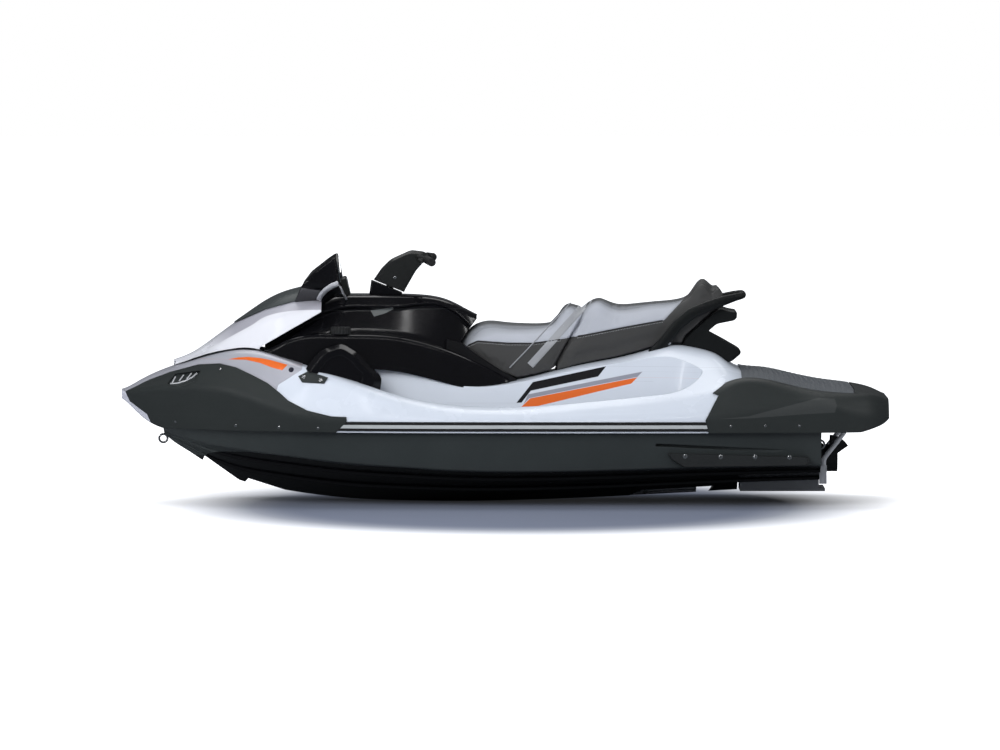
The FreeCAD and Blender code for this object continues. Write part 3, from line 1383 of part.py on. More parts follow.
def make_all():
    """Every piece in its place, each cut by those it meets, by node name."""
    body, proud = make_body(0.0), make_body(cladding_proud)
    core = make_core(cladding_thickness)
    wells = both_sides(make_footwell(0.0))
    front_region = through_side_outline(front_deck_shares)
    bin_room, bay = make_bin(), make_bay()
    bow_trim = biggest(make_cladding(proud, core, bow_trim_shares))
    whole_bumper = biggest(make_cladding(proud, core, bow_bumper_shares).cut(bow_trim))
    stern_bumper = biggest(make_cladding(proud, core, stern_bumper_shares))
    bumpers = (whole_bumper, stern_bumper)
    rails = proud.common(slab_through(rail_ends_share, rail_height_shares))
    rails = less(rails, make_core(rail_depth), *bumpers)
    inserts = proud.common(slab_through(insert_ends_share, insert_height_shares))
    inserts = less(inserts, make_core(insert_depth - cladding_proud), *bumpers)
    rails = rails.cut(inserts)
    front_deck = biggest(less(body.common(front_region), bin_room, whole_bumper, bow_trim))
    deck = body.fuse(make_tubs(tub_wall).Solids)
    deck = biggest(less(
        deck, front_region, *wells.Solids, bay, bin_room, bow_trim, *bumpers, rails
    ))
    hull = biggest(less(
        make_hull(), *make_tubs(tub_wall + seam).Solids, make_chamber(), make_duct(), bay,
        make_shaft_tunnel(), *bumpers,
    ))
    hinge = make_hinge(
        hood_hinge_x, hood_hinge_z, hood_hinge_half, (0.0,), hinge_lug_width,
        up(crown_height_at(hood_hinge_share)) - overrun,
    )
    seat, rear_seat = [biggest(cushion.cut(deck)) for cushion in make_seats()]
    stem_bore = along_stem(stem_radius + pin_clearance, -stem_below, column_top + overrun)
    raw_console = make_console()
    lid = make_lid(raw_console)
    box_top = up(tower_top_at(lid_ends_share[0]))
    console = biggest(less(
        raw_console, deck, front_deck, seat, lid_column(lid_gap, box_top - lid_seat_depth, height),
        lid_column(-box_margin, box_top - box_depth, height), stem_bore,
    ))
    cover = biggest(less(make_seat_cover(), deck, rear_seat))
    rail = biggest(less(make_grab_rail(), deck, cover, rear_seat))
    lug_y = lid_half_width - hinge_lug_width / 2
    glove_hinge = make_hinge(
        glove_hinge_x, glove_hinge_z, lid_half_width, (-lug_y, lug_y), hinge_lug_width,
        box_top - lid_seat_depth,
    )
    cluster = biggest(make_cluster().cut(console))
    column = biggest(less(make_column(), console, stem_bore))
    pods = both_sides(biggest(less(make_pods().Solids[0], deck, console)))
    cap = biggest(make_fuel_cap().cut(console))
    cleats = less(make_body(cleat_proud).common(through_side_outline(cleat_shares)), body, *pods.Solids)
    handlebar = make_handlebar()
    pad = make_pad().cut(handlebar)
    grips = Part.Compound([grip.cut(handlebar) for grip in make_grips().Solids])
    levers = Part.Compound([lever.cut(handlebar) for lever in make_levers().Solids])
    hood = biggest(make_hood())
    cowl = biggest(make_hood_cowl())
    mirror = less(make_mirror(), make_hood_form(0.0), cowl)
    glass = biggest(make_mirror_glass().cut(mirror))
    return {
        "hull": hull,
        "deck": deck,
        "front_deck": front_deck,
        "bow_bumper": whole_bumper.cut(make_intakes(proud, intake_depth)),
        "bow_trim": bow_trim,
        "stern_bumper": stern_bumper,
        "rub_rails": rails,
        "rail_inserts": inserts,
        "deck_mats": make_mats(body),
        "engine": make_engine(),
        "console": console,
        "glove_box_lid": lid,
        "glove_hinge": glove_hinge,
        "hood_hinge": hinge.cut([front_deck]),
        "instrument_cluster": cluster,
        "steering_column": column,
        "fuel_cap": cap,
        "air_pods": pods,
        "side_cleats": cleats,
        "front_seat": seat,
        "rear_seat": rear_seat,
        "seat_end_cover": cover,
        "grab_rail": rail,
        "sponsons": both_sides(biggest(make_sponsons().Solids[0].cut(hull))),
        "ride_plate": make_ride_plate().cut([hull]),
        "intake_grate": biggest(make_intake_grate().cut([hull])),
        "pump_housing": make_pump_housing(),
        "impeller": make_impeller(),
        "steering_nozzle": make_steering_nozzle(),
        "reverse_bucket": make_reverse_bucket(),
        "boarding_step": make_boarding_step(),
        "step_brackets": both_sides(make_step_bracket()),
        "bow_eye": make_bow_eye().cut([hull]),
        "stern_eyes": make_stern_eyes().cut([hull]),
        "handlebar": handlebar,
        "handle_pad": pad,
        "grips": grips,
        "levers": levers,
        "hood": hood,
        "hood_cowl": cowl,
        "mirrors": both_sides(mirror),
        "mirror_glasses": both_sides(glass),
    }


if __name__ == "__main__":
    for name, shape in make_all().items():
        shape.exportStep("parts/" + name + ".step")
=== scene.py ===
import math

import bmesh
import bpy
import numpy as np
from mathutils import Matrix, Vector
from mathutils.bvhtree import BVHTree


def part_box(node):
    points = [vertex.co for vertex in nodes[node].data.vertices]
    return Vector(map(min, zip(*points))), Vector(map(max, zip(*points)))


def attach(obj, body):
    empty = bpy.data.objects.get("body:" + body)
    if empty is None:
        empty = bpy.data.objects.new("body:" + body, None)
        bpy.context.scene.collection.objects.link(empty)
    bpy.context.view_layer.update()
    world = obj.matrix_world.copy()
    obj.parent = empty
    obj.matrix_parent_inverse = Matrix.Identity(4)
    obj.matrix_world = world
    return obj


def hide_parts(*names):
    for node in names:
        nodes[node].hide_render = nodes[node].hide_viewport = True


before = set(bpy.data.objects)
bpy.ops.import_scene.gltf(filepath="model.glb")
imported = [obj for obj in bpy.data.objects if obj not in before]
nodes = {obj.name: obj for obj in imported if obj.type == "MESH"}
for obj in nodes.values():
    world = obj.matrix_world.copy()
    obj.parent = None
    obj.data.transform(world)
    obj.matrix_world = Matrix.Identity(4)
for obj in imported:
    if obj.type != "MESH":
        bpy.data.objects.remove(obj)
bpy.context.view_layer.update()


# Hull: the lower moulding of glass fibre, laid up in one mould and bonded to the deck under the rub
# rail. Its topsides are satin charcoal gelcoat and its bottom, from the chine down, is gloss black.
metres_per_pixel = 0.004117
amidships_column = 504.0
keel_row = 501.0
keel_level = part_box("hull")[0].z
edge_softness = 0.0007
coat_rough = 0.07
mottle_scale, mottle_detail, grain_detail = 7.0, 4.0, 2.0
grain_height = 0.0005
# The Mix node's colour and value sockets, by number.
under_colour, over_colour, mixed_colour = 6, 7, 2
under_value, over_value = 2, 3


def place(column, row):
    """The (x, z) place on the craft's middle plane that shows in that column and row of the photograph."""
    return (amidships_column - column) * metres_per_pixel, keel_level + (keel_row - row) * metres_per_pixel


def column_x(column):
    """The x that shows in a column of the photograph."""
    return place(column, keel_row)[0]


def places(spots):
    """The (x, z) places of several (column, row) spots, from the stern forwards."""
    return sorted(place(*spot) for spot in spots)


def add_node(tree, kind, sockets=None, **settings):
    """A node in a tree, with its settings, and with values or sockets on its inputs."""
    node = tree.nodes.new(kind)
    for key, value in settings.items():
        setattr(node, key, value)
    for key, value in (sockets or {}).items():
        if isinstance(value, bpy.types.NodeSocket):
            tree.links.new(value, node.inputs[key])
        else:
            node.inputs[key].default_value = value
    return node


class Finish:
    """A material with faint mottling, fine grain and uneven gloss, on which zones can be painted."""

    def __init__(self, name, colour, rough, metal=0.0, coat=0.0, grain=900.0, relief=0.05, uneven=0.04,
                 mottle=0.06, rounding=0.0, shine=0.3):
        self.made = bpy.data.materials.new(name)
        self.made.use_nodes = True
        self.shader = self.made.node_tree.nodes["Principled BSDF"]
        for socket, value in (
            ("Metallic", metal), ("Coat Weight", coat), ("Coat Roughness", coat_rough),
            ("Specular IOR Level", shine),
        ):
            self.shader.inputs[socket].default_value = value
        self.where = self.add("ShaderNodeTexCoord").outputs["Object"]
        self.axis = self.add("ShaderNodeSeparateXYZ", {"Vector": self.where}).outputs
        cloud = self.noise(mottle_scale, mottle_detail)
        pores = self.noise(grain, grain_detail)
        shade = self.spread(cloud, 1.0 - mottle, 1.0 + mottle)
        scaled = self.add("ShaderNodeVectorMath", {0: colour, "Scale": shade}, operation="SCALE")
        self.colour = scaled.outputs["Vector"]
        self.rough = self.spread(cloud, rough - uneven, rough + uneven)
        self.relief = self.spread(pores, 0.0, relief)
        self.rounding = rounding

    def add(self, kind, sockets=None, **settings):
        """A node of this material."""
        return add_node(self.made.node_tree, kind, sockets, **settings)

    def noise(self, scale, detail, where=None):
        """Cloudy values around a half, at so many clouds a metre."""
        cloud = {"Vector": where or self.where, "Scale": scale, "Detail": detail}
        return self.add("ShaderNodeTexNoise", cloud).outputs["Fac"]

    def spread(self, value, low, high, start=0.25, stop=0.75):
        """A value from start to stop turned into one from low to high."""
        return self.add("ShaderNodeMapRange", {
            "Value": value, "From Min": start, "From Max": stop, "To Min": low, "To Max": high,
        }).outputs["Result"]

    def maths(self, operation, a, b=0.0, c=0.0):
        return self.add("ShaderNodeMath", {0: a, 1: b, 2: c}, operation=operation).outputs["Value"]

    def line(self, spots, straight=False):
        """The height of a line through (x, z) places, at each point's own x."""
        left, right = spots[0][0], spots[-1][0]
        low = min(z for x, z in spots)
        rise = max(z for x, z in spots) - low + edge_softness
        share = self.spread(self.axis["X"], 0.0, 1.0, left, right)
        bend = self.add("ShaderNodeFloatCurve", {"Value": share})
        bend.mapping.extend = "HORIZONTAL"
        points = bend.mapping.curves[0].points
        spread = [((x - left) / (right - left), (z - low) / rise) for x, z in spots]
        points[0].location, points[1].location = spread[0], spread[-1]
        for spot in spread[1:-1]:
            points.new(*spot)
        for point in points:
            point.handle_type = "VECTOR" if straight else "AUTO"
        bend.mapping.update()
        return self.maths("MULTIPLY_ADD", bend.outputs["Value"], rise, low)

    def above(self, spots, straight=False):
        """One above a line, and nought below it."""
        proud = self.maths("SUBTRACT", self.axis["Z"], self.line(spots, straight))
        return self.spread(proud, 0.0, 1.0, -edge_softness, edge_softness)

    def below(self, spots, straight=False):
        """One below a line, and nought above it."""
        return self.maths("SUBTRACT", 1.0, self.above(spots, straight))

    def between(self, top, bottom):
        """One inside an outline that has a top and a bottom chain with the same two ends."""
        return self.maths("MULTIPLY", self.below(top, True), self.above(bottom, True))

    def inboard(self, half_width, soft=edge_softness):
        """One within a half width of the middle plane, and nought outside it."""
        off_middle = self.maths("ABSOLUTE", self.axis["Y"])
        return self.spread(off_middle, 1.0, 0.0, half_width - soft, half_width + soft)

    def mixed(self, mask, under, over):
        """One value where the mask is nought, and another where it is one."""
        return self.add("ShaderNodeMix", {0: mask, under_value: under, over_value: over}).outputs[0]

    def paint(self, mask, colour, rough, relief=None):
        """Covers what the mask holds with another colour, gloss and grain."""
        self.colour = self.add("ShaderNodeMix", {
            "Factor": mask, under_colour: self.colour, over_colour: (*colour, 1.0),
        }, data_type="RGBA").outputs[mixed_colour]
        self.rough = self.mixed(mask, self.rough, rough)
        if relief is not None:
            self.relief = self.mixed(mask, self.relief, relief)

    def wear(self, *pieces):
        """Joins the paint to the shader and puts the material on each piece."""
        links = self.made.node_tree.links
        bump = self.add("ShaderNodeBump", {"Height": self.relief, "Distance": grain_height})
        if self.rounding:
            soft = self.add("ShaderNodeBevel", {"Radius": self.rounding}, samples=4)
            links.new(soft.outputs["Normal"], bump.inputs["Normal"])
        links.new(self.colour, self.shader.inputs["Base Color"])
        links.new(self.rough, self.shader.inputs["Roughness"])
        links.new(bump.outputs["Normal"], self.shader.inputs["Normal"])
        for piece in pieces:
            nodes[piece].data.materials.clear()
            nodes[piece].data.materials.append(self.made)
        return self.made


chine_spots = [
    (206, 455), (240, 449), (262, 450), (295, 453), (332, 458), (369, 461), (400, 462), (451, 466),
    (523, 467), (594, 466), (660, 465), (740, 462.5), (811, 461),
]
charcoal = Finish("charcoal_gelcoat", (0.034, 0.040, 0.041), rough=0.36, coat=0.05, rounding=0.004)
charcoal.paint(charcoal.below(places(chine_spots)), (0.003, 0.003, 0.004), rough=0.2)
charcoal.wear("hull")


# Rub rail: a black rubber extrusion pushed over the bonded flange along each side, with a light grey
# insert sprung into its groove. The bumpers clip over its ends.
Finish("black_rubber", (0.012, 0.012, 0.013), rough=0.62, grain=1800.0, relief=0.25).wear("rub_rails")
Finish("rail_insert_vinyl", (0.40, 0.42, 0.43), rough=0.42, grain=1400.0, relief=0.15,
       rounding=0.003).wear("rail_inserts")


# Jet pump: housing, nozzle and reverse bucket of cast alloy painted black, with a polished steel impeller,
# bolted to the transom. The grate and plate under the hull and the boarding step are of bare alloy.
brush_scale, brush_detail, brush_gloss, brush_relief = 260.0, 3.0, 0.06, 0.12


def brushed(name, colour, rough, scale):
    """A machined metal whose fine lines run along the axis of the smallest scale."""
    metal = Finish(name, colour, rough, metal=1.0, grain=600.0, relief=0.06, uneven=0.07)
    turned = metal.add("ShaderNodeMapping", {"Vector": metal.where, "Scale": scale}).outputs["Vector"]
    lines = metal.noise(brush_scale, brush_detail, turned)
    metal.rough = metal.maths("ADD", metal.rough, metal.spread(lines, -brush_gloss, brush_gloss))
    metal.relief = metal.maths("ADD", metal.relief, metal.spread(lines, 0.0, brush_relief))
    return metal


Finish("cast_alloy", (0.30, 0.31, 0.33), rough=0.40, metal=0.55, grain=420.0, relief=0.5, uneven=0.08,
       rounding=0.002).wear("ride_plate", "intake_grate")
Finish("bracket_alloy", (0.60, 0.61, 0.64), rough=0.34, metal=0.25, grain=420.0, relief=0.4, uneven=0.06,
       rounding=0.002).wear("step_brackets", "boarding_step")
Finish("pump_casting_paint", (0.018, 0.019, 0.020), rough=0.36, metal=0.2, grain=380.0, relief=0.5,
       uneven=0.08, rounding=0.002).wear("pump_housing", "steering_nozzle", "reverse_bucket")
polished = brushed("polished_steel", (0.62, 0.62, 0.63), rough=0.2, scale=(1.0, 0.08, 1.0))
polished.wear("impeller", "bow_eye", "stern_eyes", "glove_hinge", "hood_hinge")


# Engine: an iron and alloy block on rubber mounts in the hull, under the seats. It stands for the whole
# closed unit, painted in heat-proof grey.
Finish("engine_paint", (0.09, 0.09, 0.10), rough=0.55, metal=0.4, grain=300.0, relief=0.6,
       uneven=0.1).wear("engine")


# Deck: the upper moulding of glass fibre in pearl white gelcoat, painted a little lighter on the pedestals as
# painted light, with painted shade in black under the seat's nose, and grey on the boarding platform. Three
# vinyl stripes are laid on each side of the seat base.
orange_paint = (0.72, 0.135, 0.02)
silver_paint = (0.27, 0.28, 0.33)
stripe_black = (0.010, 0.010, 0.012)
pearl = Finish("pearl_gelcoat", (0.57, 0.615, 0.69), rough=0.26, coat=0.25, relief=0.02, mottle=0.015,
               rounding=0.004)
pedestal_half_width, seat_gap_shade_half_width = 0.36, 0.25
pedestal = pearl.inboard(pedestal_half_width)
# Painted light: the pedestals' pearl is painted a little lighter than the rest, to lift the shade that falls
# on them.
pearl.paint(pedestal, (0.60, 0.645, 0.72), rough=0.26)
# Painted shade: black painted on the deck in the gap between the console and the front seat's nose.
seat_gap_shade = pearl.between(
    places([(440, 352), (446, 330), (472, 335), (516, 379)]),
    places([(440, 352), (470, 366), (505, 382), (516, 379)]),
)
seat_gap_shade = pearl.maths("MULTIPLY", seat_gap_shade, pearl.inboard(seat_gap_shade_half_width))
pearl.paint(seat_gap_shade, (0.004, 0.004, 0.005), rough=0.3)
platform_zone = pearl.spread(pearl.axis["X"], 1.0, 0.0, column_x(748), column_x(746))
pearl.paint(platform_zone, (0.105, 0.115, 0.128), rough=0.4)
black_stripe = pearl.between(
    places([(516.3, 401), (532.7, 380.2), (605.7, 364.3)]),
    places([(516.3, 401), (521.5, 400.5), (530.6, 388.8), (597.6, 374.5), (605.7, 364.3)]),
)
silver_stripe = pearl.between(
    places([(523.5, 402), (528, 392.4), (641.8, 369.4)]),
    places([(523.5, 402), (529, 396.2), (636.7, 374.7), (641.8, 369.4)]),
)
orange_stripe = pearl.between(
    places([(520, 406), (530, 396.4), (636.7, 375.2)]),
    places([(520, 406), (538, 404), (630.6, 381.4), (636.7, 375.2)]),
)
for stripe, paint in (
    (silver_stripe, silver_paint), (orange_stripe, orange_paint), (black_stripe, stripe_black),
):
    pearl.paint(pearl.maths("MULTIPLY", stripe, pedestal), paint, rough=0.32)
pearl.wear("deck")


# Front deck: the moulding's silver shoulders round the bow bin, in metallic gelcoat, with one orange
# vinyl stripe on each shoulder and a rubber plug behind it.
silver = Finish("silver_gelcoat", (0.37, 0.375, 0.42), rough=0.33, metal=0.15, coat=0.2, grain=2600.0,
                relief=0.05, mottle=0.03, rounding=0.004)
shoulder_stripe = silver.between(
    places([(229.6, 356.7), (240, 354.6), (250, 354.0), (262, 354.9), (272, 356.7), (289.5, 361.2)]),
    places([(229.6, 356.7), (248, 356.9), (262, 359.8), (274, 364.2), (284, 366.6), (289.5, 361.2)]),
)
silver.paint(shoulder_stripe, orange_paint, rough=0.3)
silver.wear("front_deck")


def surface(*pieces):
    """What rays can be cast at: the evaluated meshes of some pieces."""
    graph = bpy.context.evaluated_depsgraph_get()
    corners, faces = [], []
    for piece in pieces:
        shown = (nodes[piece] if isinstance(piece, str) else piece).evaluated_get(graph).to_mesh()
        start = len(corners)
        corners += [vertex.co.copy() for vertex in shown.vertices]
        faces += [[start + i for i in face.vertices] for face in shown.polygons]
    return BVHTree.FromPolygons(corners, faces)


far_abeam = 2.0


def abeam(target, x, z, side):
    """The outermost point and its normal at (x, z), seen from one side of the craft."""
    spot, normal = target.ray_cast(Vector((x, side * far_abeam, z)), Vector((0, -side, 0)))[:2]
    return (spot, normal) if spot is not None else None


def linked(name, data):
    """A new object in the scene, at the origin."""
    made = bpy.data.objects.new(name, data)
    bpy.context.scene.collection.objects.link(made)
    return made


def new_piece(name, mesh, finish, body):
    """An object that rides on a body and wears the given finish, if one is given."""
    piece = linked(name, mesh)
    if finish is not None:
        mesh.materials.clear()
        mesh.materials.append(finish)
    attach(piece, body)
    return piece


def evaluated(source):
    """A plain mesh of an object as its modifiers leave it."""
    graph = bpy.context.evaluated_depsgraph_get()
    return bpy.data.meshes.new_from_object(source.evaluated_get(graph))


def settled(name, source, tree, values):
    """The plain mesh that a tree of geometry nodes makes of a source object, which is then removed."""
    modifier = source.modifiers.new("nodes", "NODES")
    modifier.node_group = tree
    for item in tree.interface.items_tree:
        if item.in_out == "INPUT" and item.name in values:
            modifier[item.identifier] = values[item.name]
    mesh = evaluated(source)
    mesh.name = name
    bpy.data.objects.remove(source)
    return mesh


def new_tree(name, sizes, finishes):
    """An empty tree of geometry nodes with named inputs, and how its nodes are added."""
    tree = bpy.data.node_groups.new(name, "GeometryNodeTree")
    tree.interface.new_socket("Geometry", in_out="INPUT", socket_type="NodeSocketGeometry")
    tree.interface.new_socket("Geometry", in_out="OUTPUT", socket_type="NodeSocketGeometry")
    for labels, kind in ((sizes, "NodeSocketFloat"), (finishes, "NodeSocketMaterial")):
        for label in labels:
            tree.interface.new_socket(label, in_out="INPUT", socket_type=kind)
    given = tree.nodes.new("NodeGroupInput")

    def add(kind, sockets=None, **settings):
        return add_node(tree, kind, sockets, **settings)

    return tree, given.outputs, add


def clad(add, shape, finish):
    """A shape that wears one of the finishes given to its tree."""
    return add("GeometryNodeSetMaterial", {"Geometry": shape, "Material": finish}).outputs["Geometry"]


def joined(add, *shapes):
    """Several shapes of a tree as one, the last one first."""
    join = add("GeometryNodeJoinGeometry")
    for shape in shapes:
        join.id_data.links.new(shape, join.inputs["Geometry"])
    return join.outputs["Geometry"]


def on_spots(add, given, shape, **sockets):
    """Copies of a shape on the given points, turned the way that each point faces."""
    facing = add("GeometryNodeInputNamedAttribute", {"Name": "facing"}, data_type="FLOAT_VECTOR")
    turn = add("FunctionNodeAlignRotationToVector", {"Vector": facing.outputs["Attribute"]}, axis="Z")
    points = add("GeometryNodeMeshToPoints", {"Mesh": given["Geometry"]})
    return add("GeometryNodeInstanceOnPoints", {
        "Points": points.outputs["Points"], "Instance": shape, "Rotation": turn.outputs["Rotation"],
        **sockets,
    }).outputs["Instances"]


def sized(add, width, rise):
    """The scale of a copy that is as wide as it is long."""
    return add("ShaderNodeCombineXYZ", {"X": width, "Y": width, "Z": rise}).outputs["Vector"]


def finish_tree(tree, add, shape):
    """Sends a shape out of the tree as real, flat faces."""
    real = add("GeometryNodeRealizeInstances", {"Geometry": shape}).outputs["Geometry"]
    flat = add("GeometryNodeSetShadeSmooth", {"Geometry": real, "Shade Smooth": False}).outputs["Geometry"]
    end = tree.nodes.new("NodeGroupOutput")
    tree.links.new(flat, end.inputs["Geometry"])


def points_object(spots):
    """A loose vertex at each spot, with the way that it faces."""
    mesh = bpy.data.meshes.new("spots")
    mesh.from_pydata([spot for spot, facing in spots], [], [])
    facing_of = mesh.attributes.new("facing", "FLOAT_VECTOR", "POINT")
    facing_of.data.foreach_set("vector", [c for spot, facing in spots for c in facing])
    return linked("spots", mesh)


head_sides, head_rings, skirt_share, skirt_depth = 20, 10, 1.12, 0.5
recess_sides, recess_share, recess_depth, recess_height = 6, 0.46, 0.3, 0.82
screw_tree, screw_given, add_screw = new_tree("set_screws", ["Head radius", "Head rise"], ["Head", "Recess"])
head_size = sized(add_screw, screw_given["Head radius"], screw_given["Head rise"])
head_dome = add_screw("GeometryNodeMeshUVSphere", {
    "Segments": head_sides, "Rings": head_rings, "Radius": 1.0,
})
head_skirt = add_screw("GeometryNodeMeshCylinder", {
    "Vertices": head_sides, "Radius": skirt_share, "Depth": skirt_depth,
})
head = joined(add_screw, head_skirt.outputs["Mesh"], head_dome.outputs["Mesh"])
recess = add_screw("GeometryNodeMeshCylinder", {
    "Vertices": recess_sides, "Radius": recess_share, "Depth": recess_depth,
})
raised_recess = add_screw("GeometryNodeTransform", {
    "Geometry": recess.outputs["Mesh"], "Translation": (0.0, 0.0, recess_height),
}).outputs["Geometry"]
screw = joined(add_screw, clad(add_screw, raised_recess, screw_given["Recess"]),
               clad(add_screw, head, screw_given["Head"]))
screws = on_spots(add_screw, screw_given, screw, Scale=head_size)
finish_tree(screw_tree, add_screw, screws)

screw_steel = Finish("screw_steel", (0.72, 0.73, 0.75), rough=0.22, metal=1.0, grain=1500.0, relief=0.1)
screw_steel.wear()
recess_black = Finish("socket_recess", (0.02, 0.02, 0.022), rough=0.5).wear()


def set_screws(name, pieces, spots, radius=0.0050, rise=0.0022, head=screw_steel.made, body="root"):
    """Screw heads in some pieces, at (column, row) spots of the photograph, on both sides of the craft."""
    target = surface(*pieces)
    found = [abeam(target, *place(*spot), side) for spot in spots for side in (1, -1)]
    mesh = settled(name, points_object([seat for seat in found if seat]), screw_tree, {
        "Head radius": radius, "Head rise": rise, "Head": head, "Recess": recess_black,
    })
    return new_piece(name, mesh, None, body)


plug_black = Finish("rubber_plug", (0.015, 0.015, 0.03), rough=0.5, grain=1500.0, relief=0.2).wear()
plugs = set_screws("shoulder_plugs", ["front_deck"], [(293, 366)], radius=0.010, rise=0.003, head=plug_black)


# Deck mats: moulded black foam glued to the footwell floors and to the boarding platform, where it is
# painted lighter grey as a painted sheen, with rows of raised square studs for grip.
mat_foam = Finish("mat_foam", (0.020, 0.021, 0.022), rough=0.78, grain=1500.0, relief=0.8)
# Painted sheen: the mat on the boarding platform is painted lighter grey for the sheen it shows at a grazing
# angle.
mat_platform_sheen = mat_foam.spread(mat_foam.axis["X"], 1.0, 0.0, column_x(736), column_x(734))
mat_foam.paint(mat_platform_sheen, (0.085, 0.094, 0.105), rough=0.55)
mat_foam.wear("deck_mats")
stud_top, stud_foot = 0.5, 0.7
stud_tree, stud_given, add_stud = new_tree("raise_studs", ["Stud width", "Stud rise"], ["Foam"])
stud = add_stud("GeometryNodeMeshCone", {
    "Vertices": 4, "Radius Top": stud_top, "Radius Bottom": stud_foot, "Depth": 1.0,
}).outputs["Mesh"]
stud_size = sized(add_stud, stud_given["Stud width"], stud_given["Stud rise"])
studs = on_spots(add_stud, stud_given, stud, Scale=stud_size)
finish_tree(stud_tree, add_stud, clad(add_stud, studs, stud_given["Foam"]))

stud_pitch = 0.021
stud_width = 0.011
stud_rise = 0.0018
platform_stud_rise = 0.0006
platform_end = -0.72
mat_border = 0.012
mat_levelness = 0.8
stud_lead, stud_shift = 0.25, 0.5
mat_surface = surface("deck_mats")
mat_low, mat_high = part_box("deck_mats")
above_mats = 0.5
straight_down = Vector((0, 0, -1))


def mat_top(x, y):
    """The mat's upper face at (x, y), or None off the mat."""
    spot, normal = mat_surface.ray_cast(Vector((x, y, mat_high.z + above_mats)), straight_down)[:2]
    return (spot, normal) if spot is not None and normal.z > mat_levelness else None


stud_spots = []
for row in range(int((mat_high.x - mat_low.x) / stud_pitch)):
    for column in range(int((mat_high.y - mat_low.y) / stud_pitch)):
        x = mat_low.x + (row + 0.5) * stud_pitch
        y = mat_low.y + (column + stud_lead + stud_shift * (row % 2)) * stud_pitch
        around = [mat_top(x + a, y + b) for a in (-mat_border, mat_border) for b in (-mat_border, mat_border)]
        seat = mat_top(x, y)
        if seat and all(around):
            stud_spots.append(seat)
for name, rise, spots in (
    ("footwell_studs", stud_rise, [seat for seat in stud_spots if seat[0].x > platform_end]),
    ("platform_studs", platform_stud_rise, [seat for seat in stud_spots if seat[0].x <= platform_end]),
):
    stud_mesh = settled(name, points_object(spots), stud_tree, {
        "Stud width": stud_width, "Stud rise": rise, "Foam": mat_foam.made,
    })
    new_piece(name, stud_mesh, None, "root")


# Bumpers: bow and stern guards and side cleats of tough matte polyolefin, screwed to the deck moulding,
# with a painted highlight along a facet at the stern and a light strip under the nose.
facet_highlight_strength = 0.5
guard = Finish("guard_plastic", (0.022, 0.026, 0.026), rough=0.46, grain=1300.0, relief=0.3, mottle=0.03,
               rounding=0.005)
# Painted highlight: a lighter band along the stern guard's facet, at half strength.
stern_facet_highlight = guard.between(
    places([(716, 413), (745, 410.5), (770, 404), (815, 392.5), (831, 393.5), (833, 400)]),
    places([(716, 413), (745, 412.5), (800, 408.5), (831, 407), (833, 400)]),
)
guard.paint(guard.maths("MULTIPLY", stern_facet_highlight, facet_highlight_strength), (0.060, 0.064, 0.064), rough=0.42)
guard.wear("bow_bumper", "stern_bumper", "side_cleats")
Finish("nose_strip", (0.50, 0.51, 0.58), rough=0.3, metal=0.1, coat=0.2, rounding=0.003).wear("bow_trim")
bow_screw_spots = [(222, 366), (176.6, 420), (237.6, 422), (281, 422.5), (320, 422.5)]
stern_screw_spots = [(728, 420), (762, 420), (796, 420)]
cleat_screw_spots = [(305.5, 372.5), (322.5, 375.5)]
set_screws("bow_screws", ["bow_bumper"], bow_screw_spots)
set_screws("stern_screws", ["stern_bumper"], stern_screw_spots)
set_screws("cleat_screws", ["side_cleats"], cleat_screw_spots, radius=0.0058, rise=0.003)


# Bow intakes: three satin silver vanes and a lip on each side of the bow guard, clipped in from behind,
# over the openings that let air down to the engine.
vane_silver = Finish("vane_silver", (0.62, 0.63, 0.66), rough=0.28, metal=0.35, rounding=0.002).wear()
vane_ends = [((173, 380.5), (176, 374.5)), ((180, 378.5), (184.5, 372.5)), ((187.5, 376.5), (192.5, 370.5))]
lip_spots = [(171.5, 381.5), (179, 380.8), (187, 378.2), (194, 374.6), (198.5, 370.5)]
vane_width = 0.008
vane_lean = 0.005
vane_thickness = 0.0022
vane_steps = 6
lip_width, lip_stand = 0.005, 0.002
strip_edge_share = 0.3
bow_guard = surface("bow_bumper")


def finished(name, form):
    """The mesh of a form, which is then freed."""
    mesh = bpy.data.meshes.new(name)
    form.to_mesh(mesh)
    form.free()
    return mesh


def strip(name, lines, thickness, finish, body):
    """A bent band of even thickness: lines are rows of places across it, from one end to the other."""
    form = bmesh.new()
    grid = [[form.verts.new(spot) for spot in line] for line in lines]
    for here, there in zip(grid, grid[1:]):
        for a, b, c, d in zip(here, here[1:], there[1:], there):
            form.faces.new((a, b, c, d))
    bmesh.ops.recalc_face_normals(form, faces=form.faces)
    bmesh.ops.solidify(form, geom=form.faces[:], thickness=thickness)
    bmesh.ops.recalc_face_normals(form, faces=form.faces)
    mesh = finished(name, form)
    mesh.shade_smooth()
    piece = new_piece(name, mesh, finish, body)
    piece.modifiers.new("edges", "BEVEL").width = thickness * strip_edge_share
    return piece


def band(name, spots, width, target, side, stand, thickness, finish, body, across=3):
    """A strip laid along (column, row) spots on what shows abeam there, standing off it a little."""
    lines, last = [], None
    line = [Vector(place(*spot)) for spot in spots]
    for i, here in enumerate(line):
        run = (line[min(i + 1, len(line) - 1)] - line[max(i - 1, 0)]).normalized()
        square = Vector((-run.y, run.x))
        row = []
        for step in range(across):
            at = here + square * width * (step / (across - 1) - 0.5)
            seat = abeam(target, at.x, at.y, side)
            last = seat[0].y + side * stand if seat else last
            row.append((at.x, last, at.y))
        lines.append(row)
    return strip(name, lines, thickness, finish, body)


def side_name(side):
    return "port" if side > 0 else "starboard"


